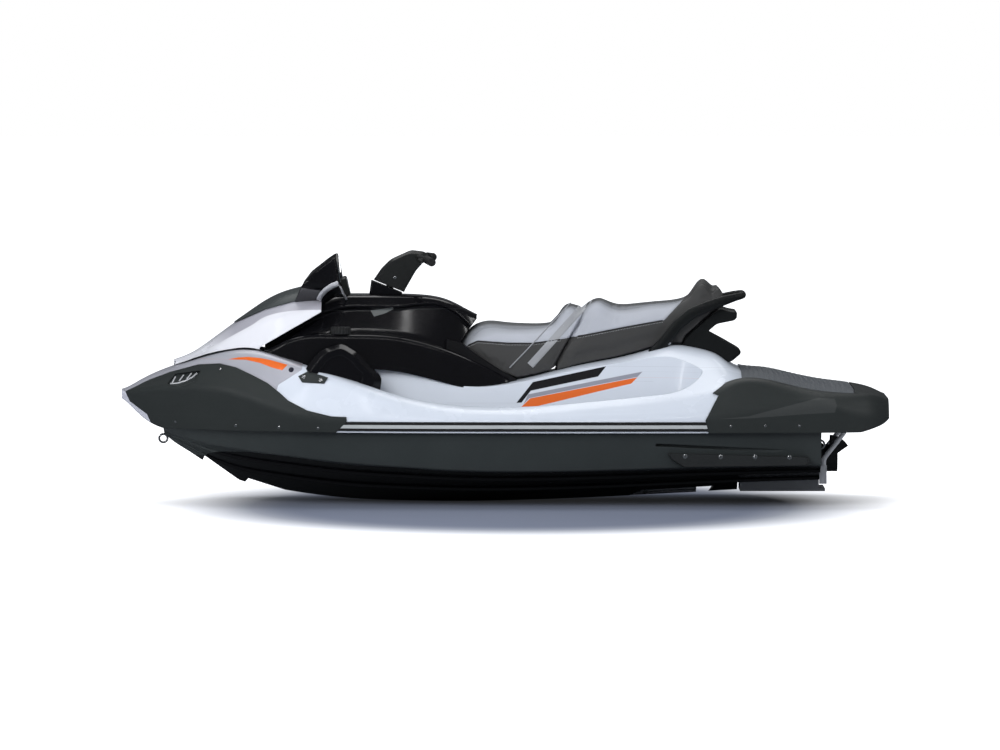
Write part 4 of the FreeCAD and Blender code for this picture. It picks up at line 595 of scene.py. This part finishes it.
for side in (1, -1):
    for number, (foot_spot, tip_spot) in enumerate(vane_ends):
        lines = []
        for step in range(vane_steps + 1):
            share = step / vane_steps
            spot = (foot + share * (tip - foot) for foot, tip in zip(foot_spot, tip_spot))
            foot = abeam(bow_guard, *place(*spot), side)[0]
            lines.append([foot, foot + Vector((-vane_lean, side * vane_width, 0))])
        strip("intake_vane_%s_%d" % (side_name(side), number + 1), lines, vane_thickness, vane_silver, "root")
    band("intake_lip_" + side_name(side), lip_spots, lip_width, bow_guard, side, lip_stand, vane_thickness,
         vane_silver, "root")


# Sponsons: ribbed planks of matte black plastic bolted to each side of the hull near the stern, which
# hold the craft in a turn.
Finish("sponson_plastic", (0.020, 0.022, 0.023), rough=0.48, grain=1100.0, relief=0.4,
       rounding=0.004).wear("sponsons")
sponson_bolt_spots = [(683, 450), (718, 450.5), (752, 450.5), (786, 451)]
set_screws("sponson_bolts", ["sponsons"], sponson_bolt_spots, radius=0.0085, rise=0.004)


# Console: the glossy black moulding between hood and seat, with the glove box lid, the air pods, the
# knurled fuel cap and the steering column's collar, all screwed to the deck.
gloss = Finish("gloss_black", (0.004, 0.004, 0.005), rough=0.12, relief=0.01, uneven=0.03, rounding=0.006,
               shine=0.35)
# Painted highlight: a light grey patch on the console under the edge of its cap.
console_highlight = gloss.between(
    places([(371, 309.5), (393, 306.3), (394, 308)]),
    places([(371, 309.5), (374.5, 315.5), (386, 312), (394, 308)]),
)
gloss.paint(console_highlight, (0.11, 0.12, 0.12), rough=0.3)
gloss.wear("console", "glove_box_lid", "air_pods", "steering_column", "mirrors")
Finish("cap_plastic", (0.020, 0.021, 0.022), rough=0.5, grain=1200.0, relief=0.4,
       rounding=0.001).wear("fuel_cap")
Finish("satin_black", (0.012, 0.013, 0.013), rough=0.34, grain=1500.0, relief=0.2,
       rounding=0.003).wear("handlebar", "levers", "handle_pad", "instrument_cluster")


# Display: a flat instrument glass let into the cluster's aft face, with a row of light bars of rising
# height on it.
display_glass = Finish("display_glass", (0.30, 0.33, 0.34), rough=0.06, coat=1.0, relief=0.0, uneven=0.01)
display_glass.wear()
display_ink = Finish("display_ink", (0.80, 0.80, 0.80), rough=0.5, relief=0.0).wear()
rider_eye = Vector((-0.15, 0.0, 1.0))
cluster_low, cluster_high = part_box("instrument_cluster")
cluster_middle = (cluster_low + cluster_high) / 2
cluster_face = surface("instrument_cluster")
look = (cluster_middle - rider_eye).normalized()
dial_seat, dial_normal = cluster_face.ray_cast(rider_eye, look)[:2]
dial_across = Vector((0, 1, 0))
dial_up = dial_across.cross(dial_normal).normalized()
if dial_up.z < 0:
    dial_up = -dial_up
dial_width, dial_height, dial_corner, dial_seat_depth, dial_stand = 0.150, 0.052, 0.012, 0.0002, 0.0012


def on_dial(across, up, stand=dial_stand):
    """A place on the display, so far across and up from its middle."""
    return dial_seat + dial_across * across + dial_up * up + dial_normal * stand


def rounded_outline(width, height, corner, steps=6):
    """The (across, up) places round a rectangle with round corners."""
    spots = []
    for quarter, (a, b) in enumerate(((1, 1), (-1, 1), (-1, -1), (1, -1))):
        for step in range(steps + 1):
            turn_by = math.radians(90.0 * (quarter + step / steps))
            spots.append((
                a * (width / 2 - corner) + corner * math.cos(turn_by),
                b * (height / 2 - corner) + corner * math.sin(turn_by),
            ))
    return spots


def prism(name, under, over, finish, body):
    """A closed piece between two outlines that match corner by corner."""
    form = bmesh.new()
    low, high = ([form.verts.new(spot) for spot in outline] for outline in (under, over))
    form.faces.new(high)
    form.faces.new(low[::-1])
    for i in range(len(low)):
        form.faces.new((low[i - 1], low[i], high[i], high[i - 1]))
    bmesh.ops.recalc_face_normals(form, faces=form.faces)
    return new_piece(name, finished(name, form), finish, body)


def plate(name, outline, low, high, finish):
    """A thin closed plate on the display's plane, between two heights above it."""
    prism(name, [on_dial(*spot, low) for spot in outline], [on_dial(*spot, high) for spot in outline], finish,
          "root")


plate("display_glass", rounded_outline(dial_width, dial_height, dial_corner), dial_seat_depth, dial_stand,
      display_glass.made)
bar_count, bar_pitch, bar_width, bar_foot = 12, 0.0085, 0.0055, -0.014
bar_least, bar_growth, bar_thickness = 0.008, 0.014, 0.0003
for number in range(bar_count):
    left = (number - bar_count / 2) * bar_pitch + (bar_pitch - bar_width) / 2
    right = left + bar_width
    top = bar_foot + bar_least + bar_growth * number / bar_count
    bar = [(right, top), (left, top), (left, bar_foot), (right, bar_foot)]
    plate("display_bar_%02d" % (number + 1), bar, dial_stand, dial_stand + bar_thickness, display_ink)


# Hood: the hinged bow cover in pearl white gelcoat, painted silver grey above its crease on the aft flank
# as a painted reflection, capped by a dark grey cowl that carries the mirrors.
hood_crease = places([
    (189, 357.5), (204, 350.5), (230, 336), (252, 324), (268, 314.5), (290, 309.5), (322, 308),
])
hood_pearl = Finish("hood_pearl", (0.68, 0.69, 0.74), rough=0.26, coat=0.25, relief=0.02, mottle=0.015,
                    rounding=0.005)
# Painted reflection: silver grey painted on the pearl above the crease, fading out towards the bow.
flank_reflection = hood_pearl.maths(
    "MULTIPLY", hood_pearl.above(hood_crease),
    hood_pearl.spread(hood_pearl.axis["X"], 1.0, 0.0, column_x(236), column_x(204)),
)
hood_pearl.paint(flank_reflection, (0.36, 0.36, 0.41), rough=0.3)
hood_pearl.wear("hood")
Finish("cowl_grey", (0.040, 0.048, 0.049), rough=0.36, grain=1300.0, relief=0.15,
       rounding=0.004).wear("hood_cowl")


# Mirrors: glossy black housings on the cowl with silvered glasses, each braced by a satin silver arch
# that is screwed to the cowl's side.
Finish("mirror_silver", (0.80, 0.82, 0.84), rough=0.03, metal=1.0, relief=0.0,
       uneven=0.015).wear("mirror_glasses")
arch_spots = [(319.5, 298), (322, 292.5), (327, 287), (333, 283), (339.5, 280.5)]
arch_leg_spots = [(339, 280.5), (342, 286), (344.5, 292), (347, 298)]
arch_width, arch_leg_width, arch_stand, arch_thickness = 0.020, 0.009, 0.004, 0.004
mirror_side = surface("mirrors", "hood_cowl", "console", "hood")
for side in (1, -1):
    for part, spots, width in (("arch", arch_spots, arch_width), ("leg", arch_leg_spots, arch_leg_width)):
        band("mirror_%s_%s" % (part, side_name(side)), spots, width, mirror_side, side, arch_stand,
             arch_thickness, vane_silver, "hood")


# Handlebar: a steel bar under a moulded pad, with ribbed rubber grips pulled over its ends and screws
# that hold the pad's halves together.
grip_rubber = Finish("grip_rubber", (0.014, 0.014, 0.015), rough=0.7, grain=1600.0, relief=0.5)
grip_rubber.wear("grips")
pad_screw_spots = [(395, 277), (386, 292)]
set_screws("pad_screws", ["handle_pad"], pad_screw_spots, radius=0.006, rise=0.003, body="handlebar_set")
ring_sides, rib_sides = 24, 6
rib_tree, rib_given, add_rib = new_tree("ring_ribs", ["Rib ring", "Rib size"], ["Rubber"])
rib_ring, rib_round = (
    add_rib("GeometryNodeCurvePrimitiveCircle", {"Resolution": sides, "Radius": radius}).outputs["Curve"]
    for sides, radius in ((ring_sides, rib_given["Rib ring"]), (rib_sides, rib_given["Rib size"]))
)
rib_form = add_rib("GeometryNodeCurveToMesh", {"Curve": rib_ring, "Profile Curve": rib_round}).outputs["Mesh"]
ribs = on_spots(add_rib, rib_given, rib_form)
finish_tree(rib_tree, add_rib, clad(add_rib, ribs, rib_given["Rubber"]))

rib_pitch, rib_size, rib_margin = 0.0052, 0.0011, 0.012
rib_spots = []
for side in (1, -1):
    spots = np.array([v.co for v in nodes["grips"].data.vertices if v.co.y * side > 0])
    middle = spots.mean(0)
    along = np.linalg.svd(spots - middle)[2][0]
    reach = (spots - middle) @ along
    girth = np.median(np.linalg.norm(spots - middle - np.outer(reach, along), axis=1))
    count = int((reach.max() - reach.min() - 2 * rib_margin) / rib_pitch)
    for step in range(count + 1):
        at = reach.min() + rib_margin + step * rib_pitch
        rib_spots.append((Vector(middle + along * at), Vector(along)))
rib_mesh = settled("grip_ribs", points_object(rib_spots), rib_tree, {
    "Rib ring": float(girth), "Rib size": rib_size, "Rubber": grip_rubber.made,
})
new_piece("grip_ribs", rib_mesh, None, "handlebar_set")


# Seats: two foam cushions in grained marine vinyl, silver grey on top with painted shade darkening the
# middle of the top and dark grey sides, pulled down over the foam so that the cover swells between its
# sewn and piped seams.
seat_line = places([
    (440, 356), (462, 349), (470, 343.5), (478, 340), (507, 342), (532, 342), (552, 339.5), (583, 334),
    (624, 326), (663.5, 319), (680, 302), (697, 283), (716, 262), (735, 240),
])
vinyl = Finish("seat_vinyl", (0.42, 0.44, 0.49), rough=0.46, grain=1100.0, relief=0.5, mottle=0.04, shine=0.2)
leather_scale, leather_depth, leather_crease = 620.0, 0.5, 0.3
leather = vinyl.add("ShaderNodeTexVoronoi", {
    "Vector": vinyl.where, "Scale": leather_scale,
}, feature="DISTANCE_TO_EDGE").outputs["Distance"]
creases = vinyl.spread(leather, 0.0, leather_depth, 0.0, leather_crease)
vinyl.relief = vinyl.maths("ADD", vinyl.relief, creases)
insert_edge, top_shade_blend = 0.088, 0.030
# Painted shade: the middle of each cushion's top is painted dark grey, blending out to the silver towards its
# sides.
vinyl.paint(vinyl.inboard(insert_edge, top_shade_blend), (0.085, 0.09, 0.095), rough=0.5)
vinyl.paint(vinyl.below(seat_line, True), (0.052, 0.052, 0.052), rough=0.52, relief=0.9)
vinyl.wear()

foam_weld, foam_shrink, foam_voxel = 0.00002, 0.004, 0.006
cover_swell, cover_pressure, cover_mass, cloth_quality, cloth_frames = 0.008, 4.0, 0.3, 4, 20
least_length = 1e-9
seam_depth, seam_half_width = 0.0032, 0.008
side_facing, top_facing = 0.35, 0.45


def foam_form(name, node):
    """The cushion's foam: the solid's own shape, merged, drawn in a little and remeshed evenly."""
    form = bmesh.new()
    form.from_mesh(nodes[node].data)
    bmesh.ops.remove_doubles(form, verts=form.verts, dist=foam_weld)
    bmesh.ops.recalc_face_normals(form, faces=form.faces)
    form.normal_update()
    for vertex in form.verts:
        vertex.co -= vertex.normal * foam_shrink
    source = linked(name, finished(name, form))
    remesh = source.modifiers.new("even", "REMESH")
    remesh.mode, remesh.voxel_size = "VOXEL", foam_voxel
    even = evaluated(source)
    source.modifiers.clear()
    source.data = even
    return source


foams = {"front_cushion": "front_seat", "rear_cushion": "rear_seat"}
forms = {name: foam_form(name, node) for name, node in foams.items()}
for form in forms.values():
    cloth = form.modifiers.new("cover", "CLOTH")
    cloth.settings.quality, cloth.settings.mass = cloth_quality, cover_mass
    cloth.settings.use_pressure = True
    cloth.settings.uniform_pressure_force = cover_pressure
    cloth.settings.effector_weights.gravity = 0.0
    cloth.point_cache.frame_start, cloth.point_cache.frame_end = 1, cloth_frames
for step in range(1, cloth_frames + 1):
    bpy.context.scene.frame_set(step)
for form, swollen in [(form, evaluated(form)) for form in forms.values()]:
    form.modifiers.clear()
    for vertex, moved in zip(form.data.vertices, swollen.vertices):
        swell = moved.co - vertex.co
        vertex.co += swell * min(1.0, cover_swell / max(swell.length, least_length))
bpy.context.scene.frame_set(1)


def line_height(line, x):
    """The height at x of a broken line through (x, z) places."""
    for (x0, z0), (x1, z1) in zip(line, line[1:]):
        if x0 <= x <= x1:
            return z0 + (z1 - z0) * (x - x0) / (x1 - x0)
    return line[0][1] if x < line[0][0] else line[-1][1]


def seam_pull(spot, normal):
    """How far the seams pull the cover in at a spot: along the colour line and beside the top panel."""
    off_line = off_panel = seam_half_width
    if abs(normal.y) > side_facing:
        off_line = abs(spot.z - line_height(seat_line, spot.x))
    if normal.z > top_facing:
        off_panel = abs(abs(spot.y) - insert_edge)
    share = min(off_line, off_panel) / seam_half_width
    return seam_depth * (1 + math.cos(math.pi * share)) / 2 if share < 1 else 0.0


seats = {}
for name, form in forms.items():
    finer = form.modifiers.new("finer", "SUBSURF")
    finer.levels = finer.render_levels = 1
    cover = evaluated(form)
    bpy.data.objects.remove(form)
    cover.name = name
    pulled = [v.co - v.normal * seam_pull(v.co, v.normal) for v in cover.vertices]
    for vertex, spot in zip(cover.vertices, pulled):
        vertex.co = spot
    cover.shade_smooth()
    seats[name] = new_piece(name, cover, vinyl.made, "root")
    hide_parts(foams[name])

dark_piping = Finish("dark_piping", (0.022, 0.022, 0.023), rough=0.5, grain=1500.0, relief=0.3).wear()
covers = surface(*seats.values())
piping_radius, piping_step, piping_sink, piping_rounding = 0.0022, 0.006, 0.3, 2
seam_columns = {"front": (560, 466), "rear": (662, 575)}


def seam_run(columns, side, drop=0.0, stand=0.0):
    """Places along a cushion's colour line between two columns, dropped a little or standing off it."""
    start, stop = (column_x(column) for column in columns)
    path = []
    for step in range(int((stop - start) / piping_step)):
        x = start + step * piping_step
        seat = abeam(covers, x, line_height(seat_line, x) - drop, side)
        if seat:
            path.append(seat[0] + seat[1] * stand)
    return path


def tube(name, path, radius, finish):
    """A round cord along a path, closed at its ends, as a plain mesh."""
    cord = bpy.data.curves.new(name, "CURVE")
    cord.dimensions = "3D"
    cord.bevel_depth, cord.bevel_resolution, cord.use_fill_caps = radius, piping_rounding, True
    spline = cord.splines.new("POLY")
    spline.points.add(len(path) - 1)
    for point, spot in zip(spline.points, path):
        point.co = (*spot, 1.0)
    source = linked(name, cord)
    mesh = evaluated(source)
    bpy.data.objects.remove(source)
    mesh.shade_smooth()
    new_piece(name, mesh, finish, "root")


for label, columns in seam_columns.items():
    for side in (1, -1):
        path = seam_run(columns, side, stand=piping_radius * piping_sink)
        tube("%s_piping_%s" % (label, side_name(side)), path, piping_radius, dark_piping)


# Seat base: a black moulded pan under the nose of the front cushion and a black rubber seal between the
# two cushions, both screwed to the deck.
pan_black = Finish("seat_pan_plastic", (0.006, 0.006, 0.007), rough=0.4, grain=1300.0, relief=0.2).wear()
pan_half_width, seal_half_width = 0.15, 0.11
pan_outline = [
    (447, 338), (462, 342), (478, 354), (500, 368), (517, 378), (514, 383), (488, 378), (462, 366),
    (446, 354),
]
seal_outline = [(553.6, 372), (558.4, 372), (572.0, 342), (568.2, 340)]
for name, outline, half_width in (
    ("seat_pan", pan_outline, pan_half_width), ("cushion_seal", seal_outline, seal_half_width),
):
    starboard_rim, port_rim = (
        [(x, y, z) for x, z in (place(*spot) for spot in outline)] for y in (-half_width, half_width)
    )
    prism(name, starboard_rim, port_rim, pan_black, "root")


# Seat strap: a grey webbing handhold for the passenger, laid over the front cushion and sewn into its
# side seams, with piping beside it.
webbing = Finish("webbing", (0.33, 0.34, 0.36), rough=0.66, grain=900.0, relief=0.3)
weave = webbing.add("ShaderNodeTexWave", {
    "Vector": webbing.where, "Scale": 190.0, "Distortion": 1.5, "Detail": 2.0,
}, bands_direction="DIAGONAL").outputs["Fac"]
webbing.relief = webbing.maths("ADD", webbing.relief, webbing.spread(weave, 0.0, 1.0, 0.0, 1.0))
webbing.wear()
piping_vinyl = Finish("piping_vinyl", (0.30, 0.31, 0.33), rough=0.45, grain=1500.0, relief=0.3).wear()
strap_low, strap_high = (527.5, 367), (583, 305.5)
strap_width, strap_thickness, strap_reach, strap_stand = 0.030, 0.0028, 84.0, 0.0012
strap_steps, strap_columns = 72, 5
edge_low, edge_high = (508, 368), (570, 303.5)
edge_radius, edge_reach, edge_stand = 0.0026, 86.0, 0.001


def girdle(low_spot, high_spot, offset, reach, stand):
    """A path over a cushion in the slanted plane through two (column, row) spots, moved along its normal."""
    low, high = Vector((*place(*low_spot), 0)), Vector((*place(*high_spot), 0))
    run = (high - low).normalized()
    up_plane, across = Vector((run.x, 0, run.y)), Vector((0, 1, 0))
    hub = Vector((low.x, 0, low.y)) + Vector((-run.y, 0, run.x)) * offset
    path = []
    for step in range(strap_steps + 1):
        angle = math.radians(reach) * (2 * step / strap_steps - 1)
        ray = up_plane * math.cos(angle) + across * math.sin(angle)
        spot, normal = covers.ray_cast(hub + ray * far_abeam, -ray)[:2]
        if spot is not None:
            path.append(spot + normal * stand)
    return path


strap_offsets = [strap_width * (k / (strap_columns - 1) - 0.5) for k in range(strap_columns)]
strap_lines = [girdle(strap_low, strap_high, offset, strap_reach, strap_stand) for offset in strap_offsets]
strap_rows = list(zip(*strap_lines))
strap = strip("seat_strap", strap_rows, strap_thickness, webbing.made, "root")
strap_middle = strap_columns // 2
strap_length = sum((a[strap_middle] - b[strap_middle]).length for a, b in zip(strap_rows, strap_rows[1:]))
edge_path = girdle(edge_low, edge_high, 0.0, edge_reach, edge_stand)
tube("strap_edge_piping", edge_path, edge_radius, piping_vinyl)


# Stitches: a row of light grey thread sewn through the vinyl just below each side seam, in stitches a
# few millimetres long.
thread_share, thread_sides = 0.62, 6
stitch_sizes = ["Stitch pitch", "Thread radius"]
stitch_tree, stitch_given, add_stitch = new_tree("run_stitches", stitch_sizes, ["Thread"])
seam_path = add_stitch("GeometryNodeMeshToCurve", {"Mesh": stitch_given["Geometry"]}).outputs["Curve"]
seam_points = add_stitch("GeometryNodeCurveToPoints", {
    "Curve": seam_path, "Length": stitch_given["Stitch pitch"],
}, mode="LENGTH").outputs
thread_length = add_stitch("ShaderNodeMath", {
    0: stitch_given["Stitch pitch"], 1: thread_share,
}, operation="MULTIPLY").outputs["Value"]
thread = add_stitch("GeometryNodeMeshCylinder", {
    "Vertices": thread_sides, "Radius": stitch_given["Thread radius"], "Depth": thread_length,
}).outputs["Mesh"]
thread_turn = add_stitch("FunctionNodeAlignRotationToVector", {"Vector": seam_points["Tangent"]}, axis="Z")
stitches = add_stitch("GeometryNodeInstanceOnPoints", {
    "Points": seam_points["Points"], "Instance": thread, "Rotation": thread_turn.outputs["Rotation"],
}).outputs["Instances"]
finish_tree(stitch_tree, add_stitch, clad(add_stitch, stitches, stitch_given["Thread"]))

thread_grey = Finish("seam_thread", (0.45, 0.46, 0.48), rough=0.6, relief=0.3).wear()
stitch_pitch, thread_radius, stitch_drop = 0.0065, 0.0006, 0.007
corners, edges = [], []
for columns in seam_columns.values():
    for side in (1, -1):
        path = seam_run(columns, side, drop=stitch_drop)
        edges += [(len(corners) + i, len(corners) + i + 1) for i in range(len(path) - 1)]
        corners += path
seam_lines = bpy.data.meshes.new("seam_lines")
seam_lines.from_pydata(corners, edges, [])
stitch_mesh = settled("seat_stitches", linked("seam_lines", seam_lines), stitch_tree, {
    "Stitch pitch": stitch_pitch, "Thread radius": thread_radius, "Thread": thread_grey,
})
new_piece("seat_stitches", stitch_mesh, None, "root")


# Grab rail and end cover: a hoop of dark grey plastic that the passenger holds and boards by, screwed
# through its feet to the moulded cover behind the seat.
Finish("rail_plastic", (0.006, 0.007, 0.0075), rough=0.44, grain=1300.0, relief=0.3,
       rounding=0.006).wear("grab_rail", "seat_end_cover")
cover_screw_spots = [(683, 336), (669, 342)]
set_screws("cover_screws", ["seat_end_cover", "grab_rail", "deck"], cover_screw_spots)


# Studio: a white floor at the keel's lowest line with a painted shadow, dark bluish paint in an oval round
# the craft that is lit by the lamps alone, and brighter of itself further off, in a white surround that is
# darker where gloss mirrors it.
floor_half = 80.0
floor_mesh = bpy.data.meshes.new("studio_floor")
floor_mesh.from_pydata([
    (x * floor_half, y * floor_half, keel_level) for x, y in ((-1, -1), (1, -1), (1, 1), (-1, 1))
], [], [(0, 1, 2, 3)])
linked("studio_floor", floor_mesh)
floor_white_painted_shadow = bpy.data.materials.new("floor_white_painted_shadow")
floor_white_painted_shadow.use_nodes = True
floor_tree = floor_white_painted_shadow.node_tree
floor_tree.nodes.remove(floor_tree.nodes["Principled BSDF"])
floor_mesh.materials.append(floor_white_painted_shadow)
cloud_scale, cloud_share = 1.5, 0.02


def floor_node(kind, sockets=None, **settings):
    """The outputs of a node of the floor's material."""
    return add_node(floor_tree, kind, sockets, **settings).outputs


floor_where = floor_node("ShaderNodeTexCoord")["Object"]
floor_oval = floor_node("ShaderNodeMapping", {
    "Vector": floor_where, "Location": (0.07, -0.3, 0.0), "Scale": (1.0, 0.62, 0.0),
})["Vector"]
floor_reach = floor_node("ShaderNodeVectorMath", {0: floor_oval}, operation="LENGTH")["Value"]
floor_cloud = floor_node("ShaderNodeTexNoise", {"Vector": floor_where, "Scale": cloud_scale})["Fac"]
# The floor's own glow is nil round the craft, where the painted shadow lies, and rises further off.
floor_glow = floor_node("ShaderNodeMapRange", {
    "Value": floor_reach, "From Min": 1.1, "From Max": 2.1, "To Min": 0.0, "To Max": 1.0,
})["Result"]
floor_uneven = floor_node("ShaderNodeMath", {
    0: floor_cloud, 1: cloud_share, 2: floor_glow,
}, operation="MULTIPLY_ADD")["Value"]
# Painted shadow: the floor is painted dark bluish in an oval round the craft, fading to white further off.
floor_shadow_blend = floor_node("ShaderNodeMapRange", {
    "Value": floor_reach, "From Min": 0.9, "From Max": 1.65, "To Min": 0.0, "To Max": 1.0,
}, interpolation_type="SMOOTHSTEP")["Result"]
floor_colour_and_shadow = floor_node("ShaderNodeMix", {
    "Factor": floor_shadow_blend, under_colour: (0.15, 0.17, 0.225, 1), over_colour: (0.93, 0.94, 0.97, 1),
}, data_type="RGBA")[mixed_colour]
floor_paint = floor_node("ShaderNodeBsdfDiffuse", {"Color": floor_colour_and_shadow})[0]
floor_light = floor_node("ShaderNodeEmission", {"Color": (1, 1, 1, 1), "Strength": floor_uneven})[0]
floor_dark = floor_node("ShaderNodeBsdfDiffuse", {"Color": (0.10, 0.11, 0.12, 1)})[0]
rays = floor_node("ShaderNodeLightPath")
floor_lit = floor_node("ShaderNodeAddShader", {0: floor_paint, 1: floor_light})[0]
floor_seen = floor_node("ShaderNodeMixShader", {0: rays["Is Camera Ray"], 1: floor_paint, 2: floor_lit})[0]
floor_shown = floor_node("ShaderNodeMixShader", {0: rays["Is Glossy Ray"], 1: floor_seen, 2: floor_dark})[0]
floor_tree.links.new(floor_shown, floor_tree.nodes["Material Output"].inputs["Surface"])

world = bpy.data.worlds.new("studio")
bpy.context.scene.world = world
world.use_nodes = True
surround = world.node_tree
soft_light = surround.nodes["Background"]
soft_light.inputs["Color"].default_value = (0.90, 0.94, 1.0, 1)
soft_light.inputs["Strength"].default_value = 0.42
surround_rays = add_node(surround, "ShaderNodeLightPath").outputs
shown = soft_light.outputs[0]
for ray, colour, strength in (
    ("Is Glossy Ray", (0.92, 0.95, 1.0, 1), 0.10), ("Is Camera Ray", (1, 1, 1, 1), 1.0),
):
    seen = add_node(surround, "ShaderNodeBackground", {"Color": colour, "Strength": strength}).outputs[0]
    shown = add_node(surround, "ShaderNodeMixShader", {0: surround_rays[ray], 1: shown, 2: seen}).outputs[0]
surround.links.new(shown, surround.nodes["World Output"].inputs["Surface"])


# Lamps: a wide soft box above and a little behind, one abeam of each side that gloss doesn't mirror, and
# long narrow ones whose reflections run along the glossy mouldings.
lamp_aim = Vector((0, 0, 0.15))


def soft_lamp(name, spot, width, depth, power, mirrored=True):
    """A flat lamp that faces the craft's middle."""
    lamp = bpy.data.lights.new(name, "AREA")
    lamp.shape, lamp.size, lamp.size_y, lamp.energy = "RECTANGLE", width, depth, power
    made = linked(name, lamp)
    made.location = spot
    made.visible_glossy = mirrored
    made.rotation_euler = (lamp_aim - Vector(spot)).to_track_quat("-Z", "Y").to_euler()


soft_lamp("overhead_lamp", (0.2, -1.6, 4.2), width=4.6, depth=2.4, power=90)
soft_lamp("port_lamp", (1.6, 5.2, 2.4), width=3.4, depth=2.2, power=178, mirrored=False)
soft_lamp("starboard_lamp", (-1.5, -5.0, 2.6), width=3.0, depth=2.0, power=60, mirrored=False)
soft_lamp("port_strip_lamp", (0.6, 3.4, 2.9), width=4.5, depth=0.16, power=20)
soft_lamp("bow_strip_lamp", (3.4, 2.6, 1.8), width=0.25, depth=2.6, power=22)
soft_lamp("stern_strip_lamp", (-3.6, 1.6, 2.2), width=0.2, depth=2.4, power=18)


# Camera: abeam of the port side and raised a little above level, far enough off that the side shows as
# in an elevation.
frame_width = 4.117
frame_middle = Vector((0.0165, 0, 0.2786))
camera_lens = 400.0
camera_rise = math.radians(2.3)
camera_data = bpy.data.cameras.new("camera")
camera_data.lens = camera_lens
camera_data.clip_end = 500.0
camera = linked("camera", camera_data)
camera_distance = frame_width * camera_lens / camera_data.sensor_width
camera.location = frame_middle + Vector((0, math.cos(camera_rise), math.sin(camera_rise))) * camera_distance
camera.rotation_euler = (frame_middle - camera.location).to_track_quat("-Z", "Y").to_euler()
bpy.context.scene.camera = camera
bpy.context.scene.view_settings.view_transform = "Standard"
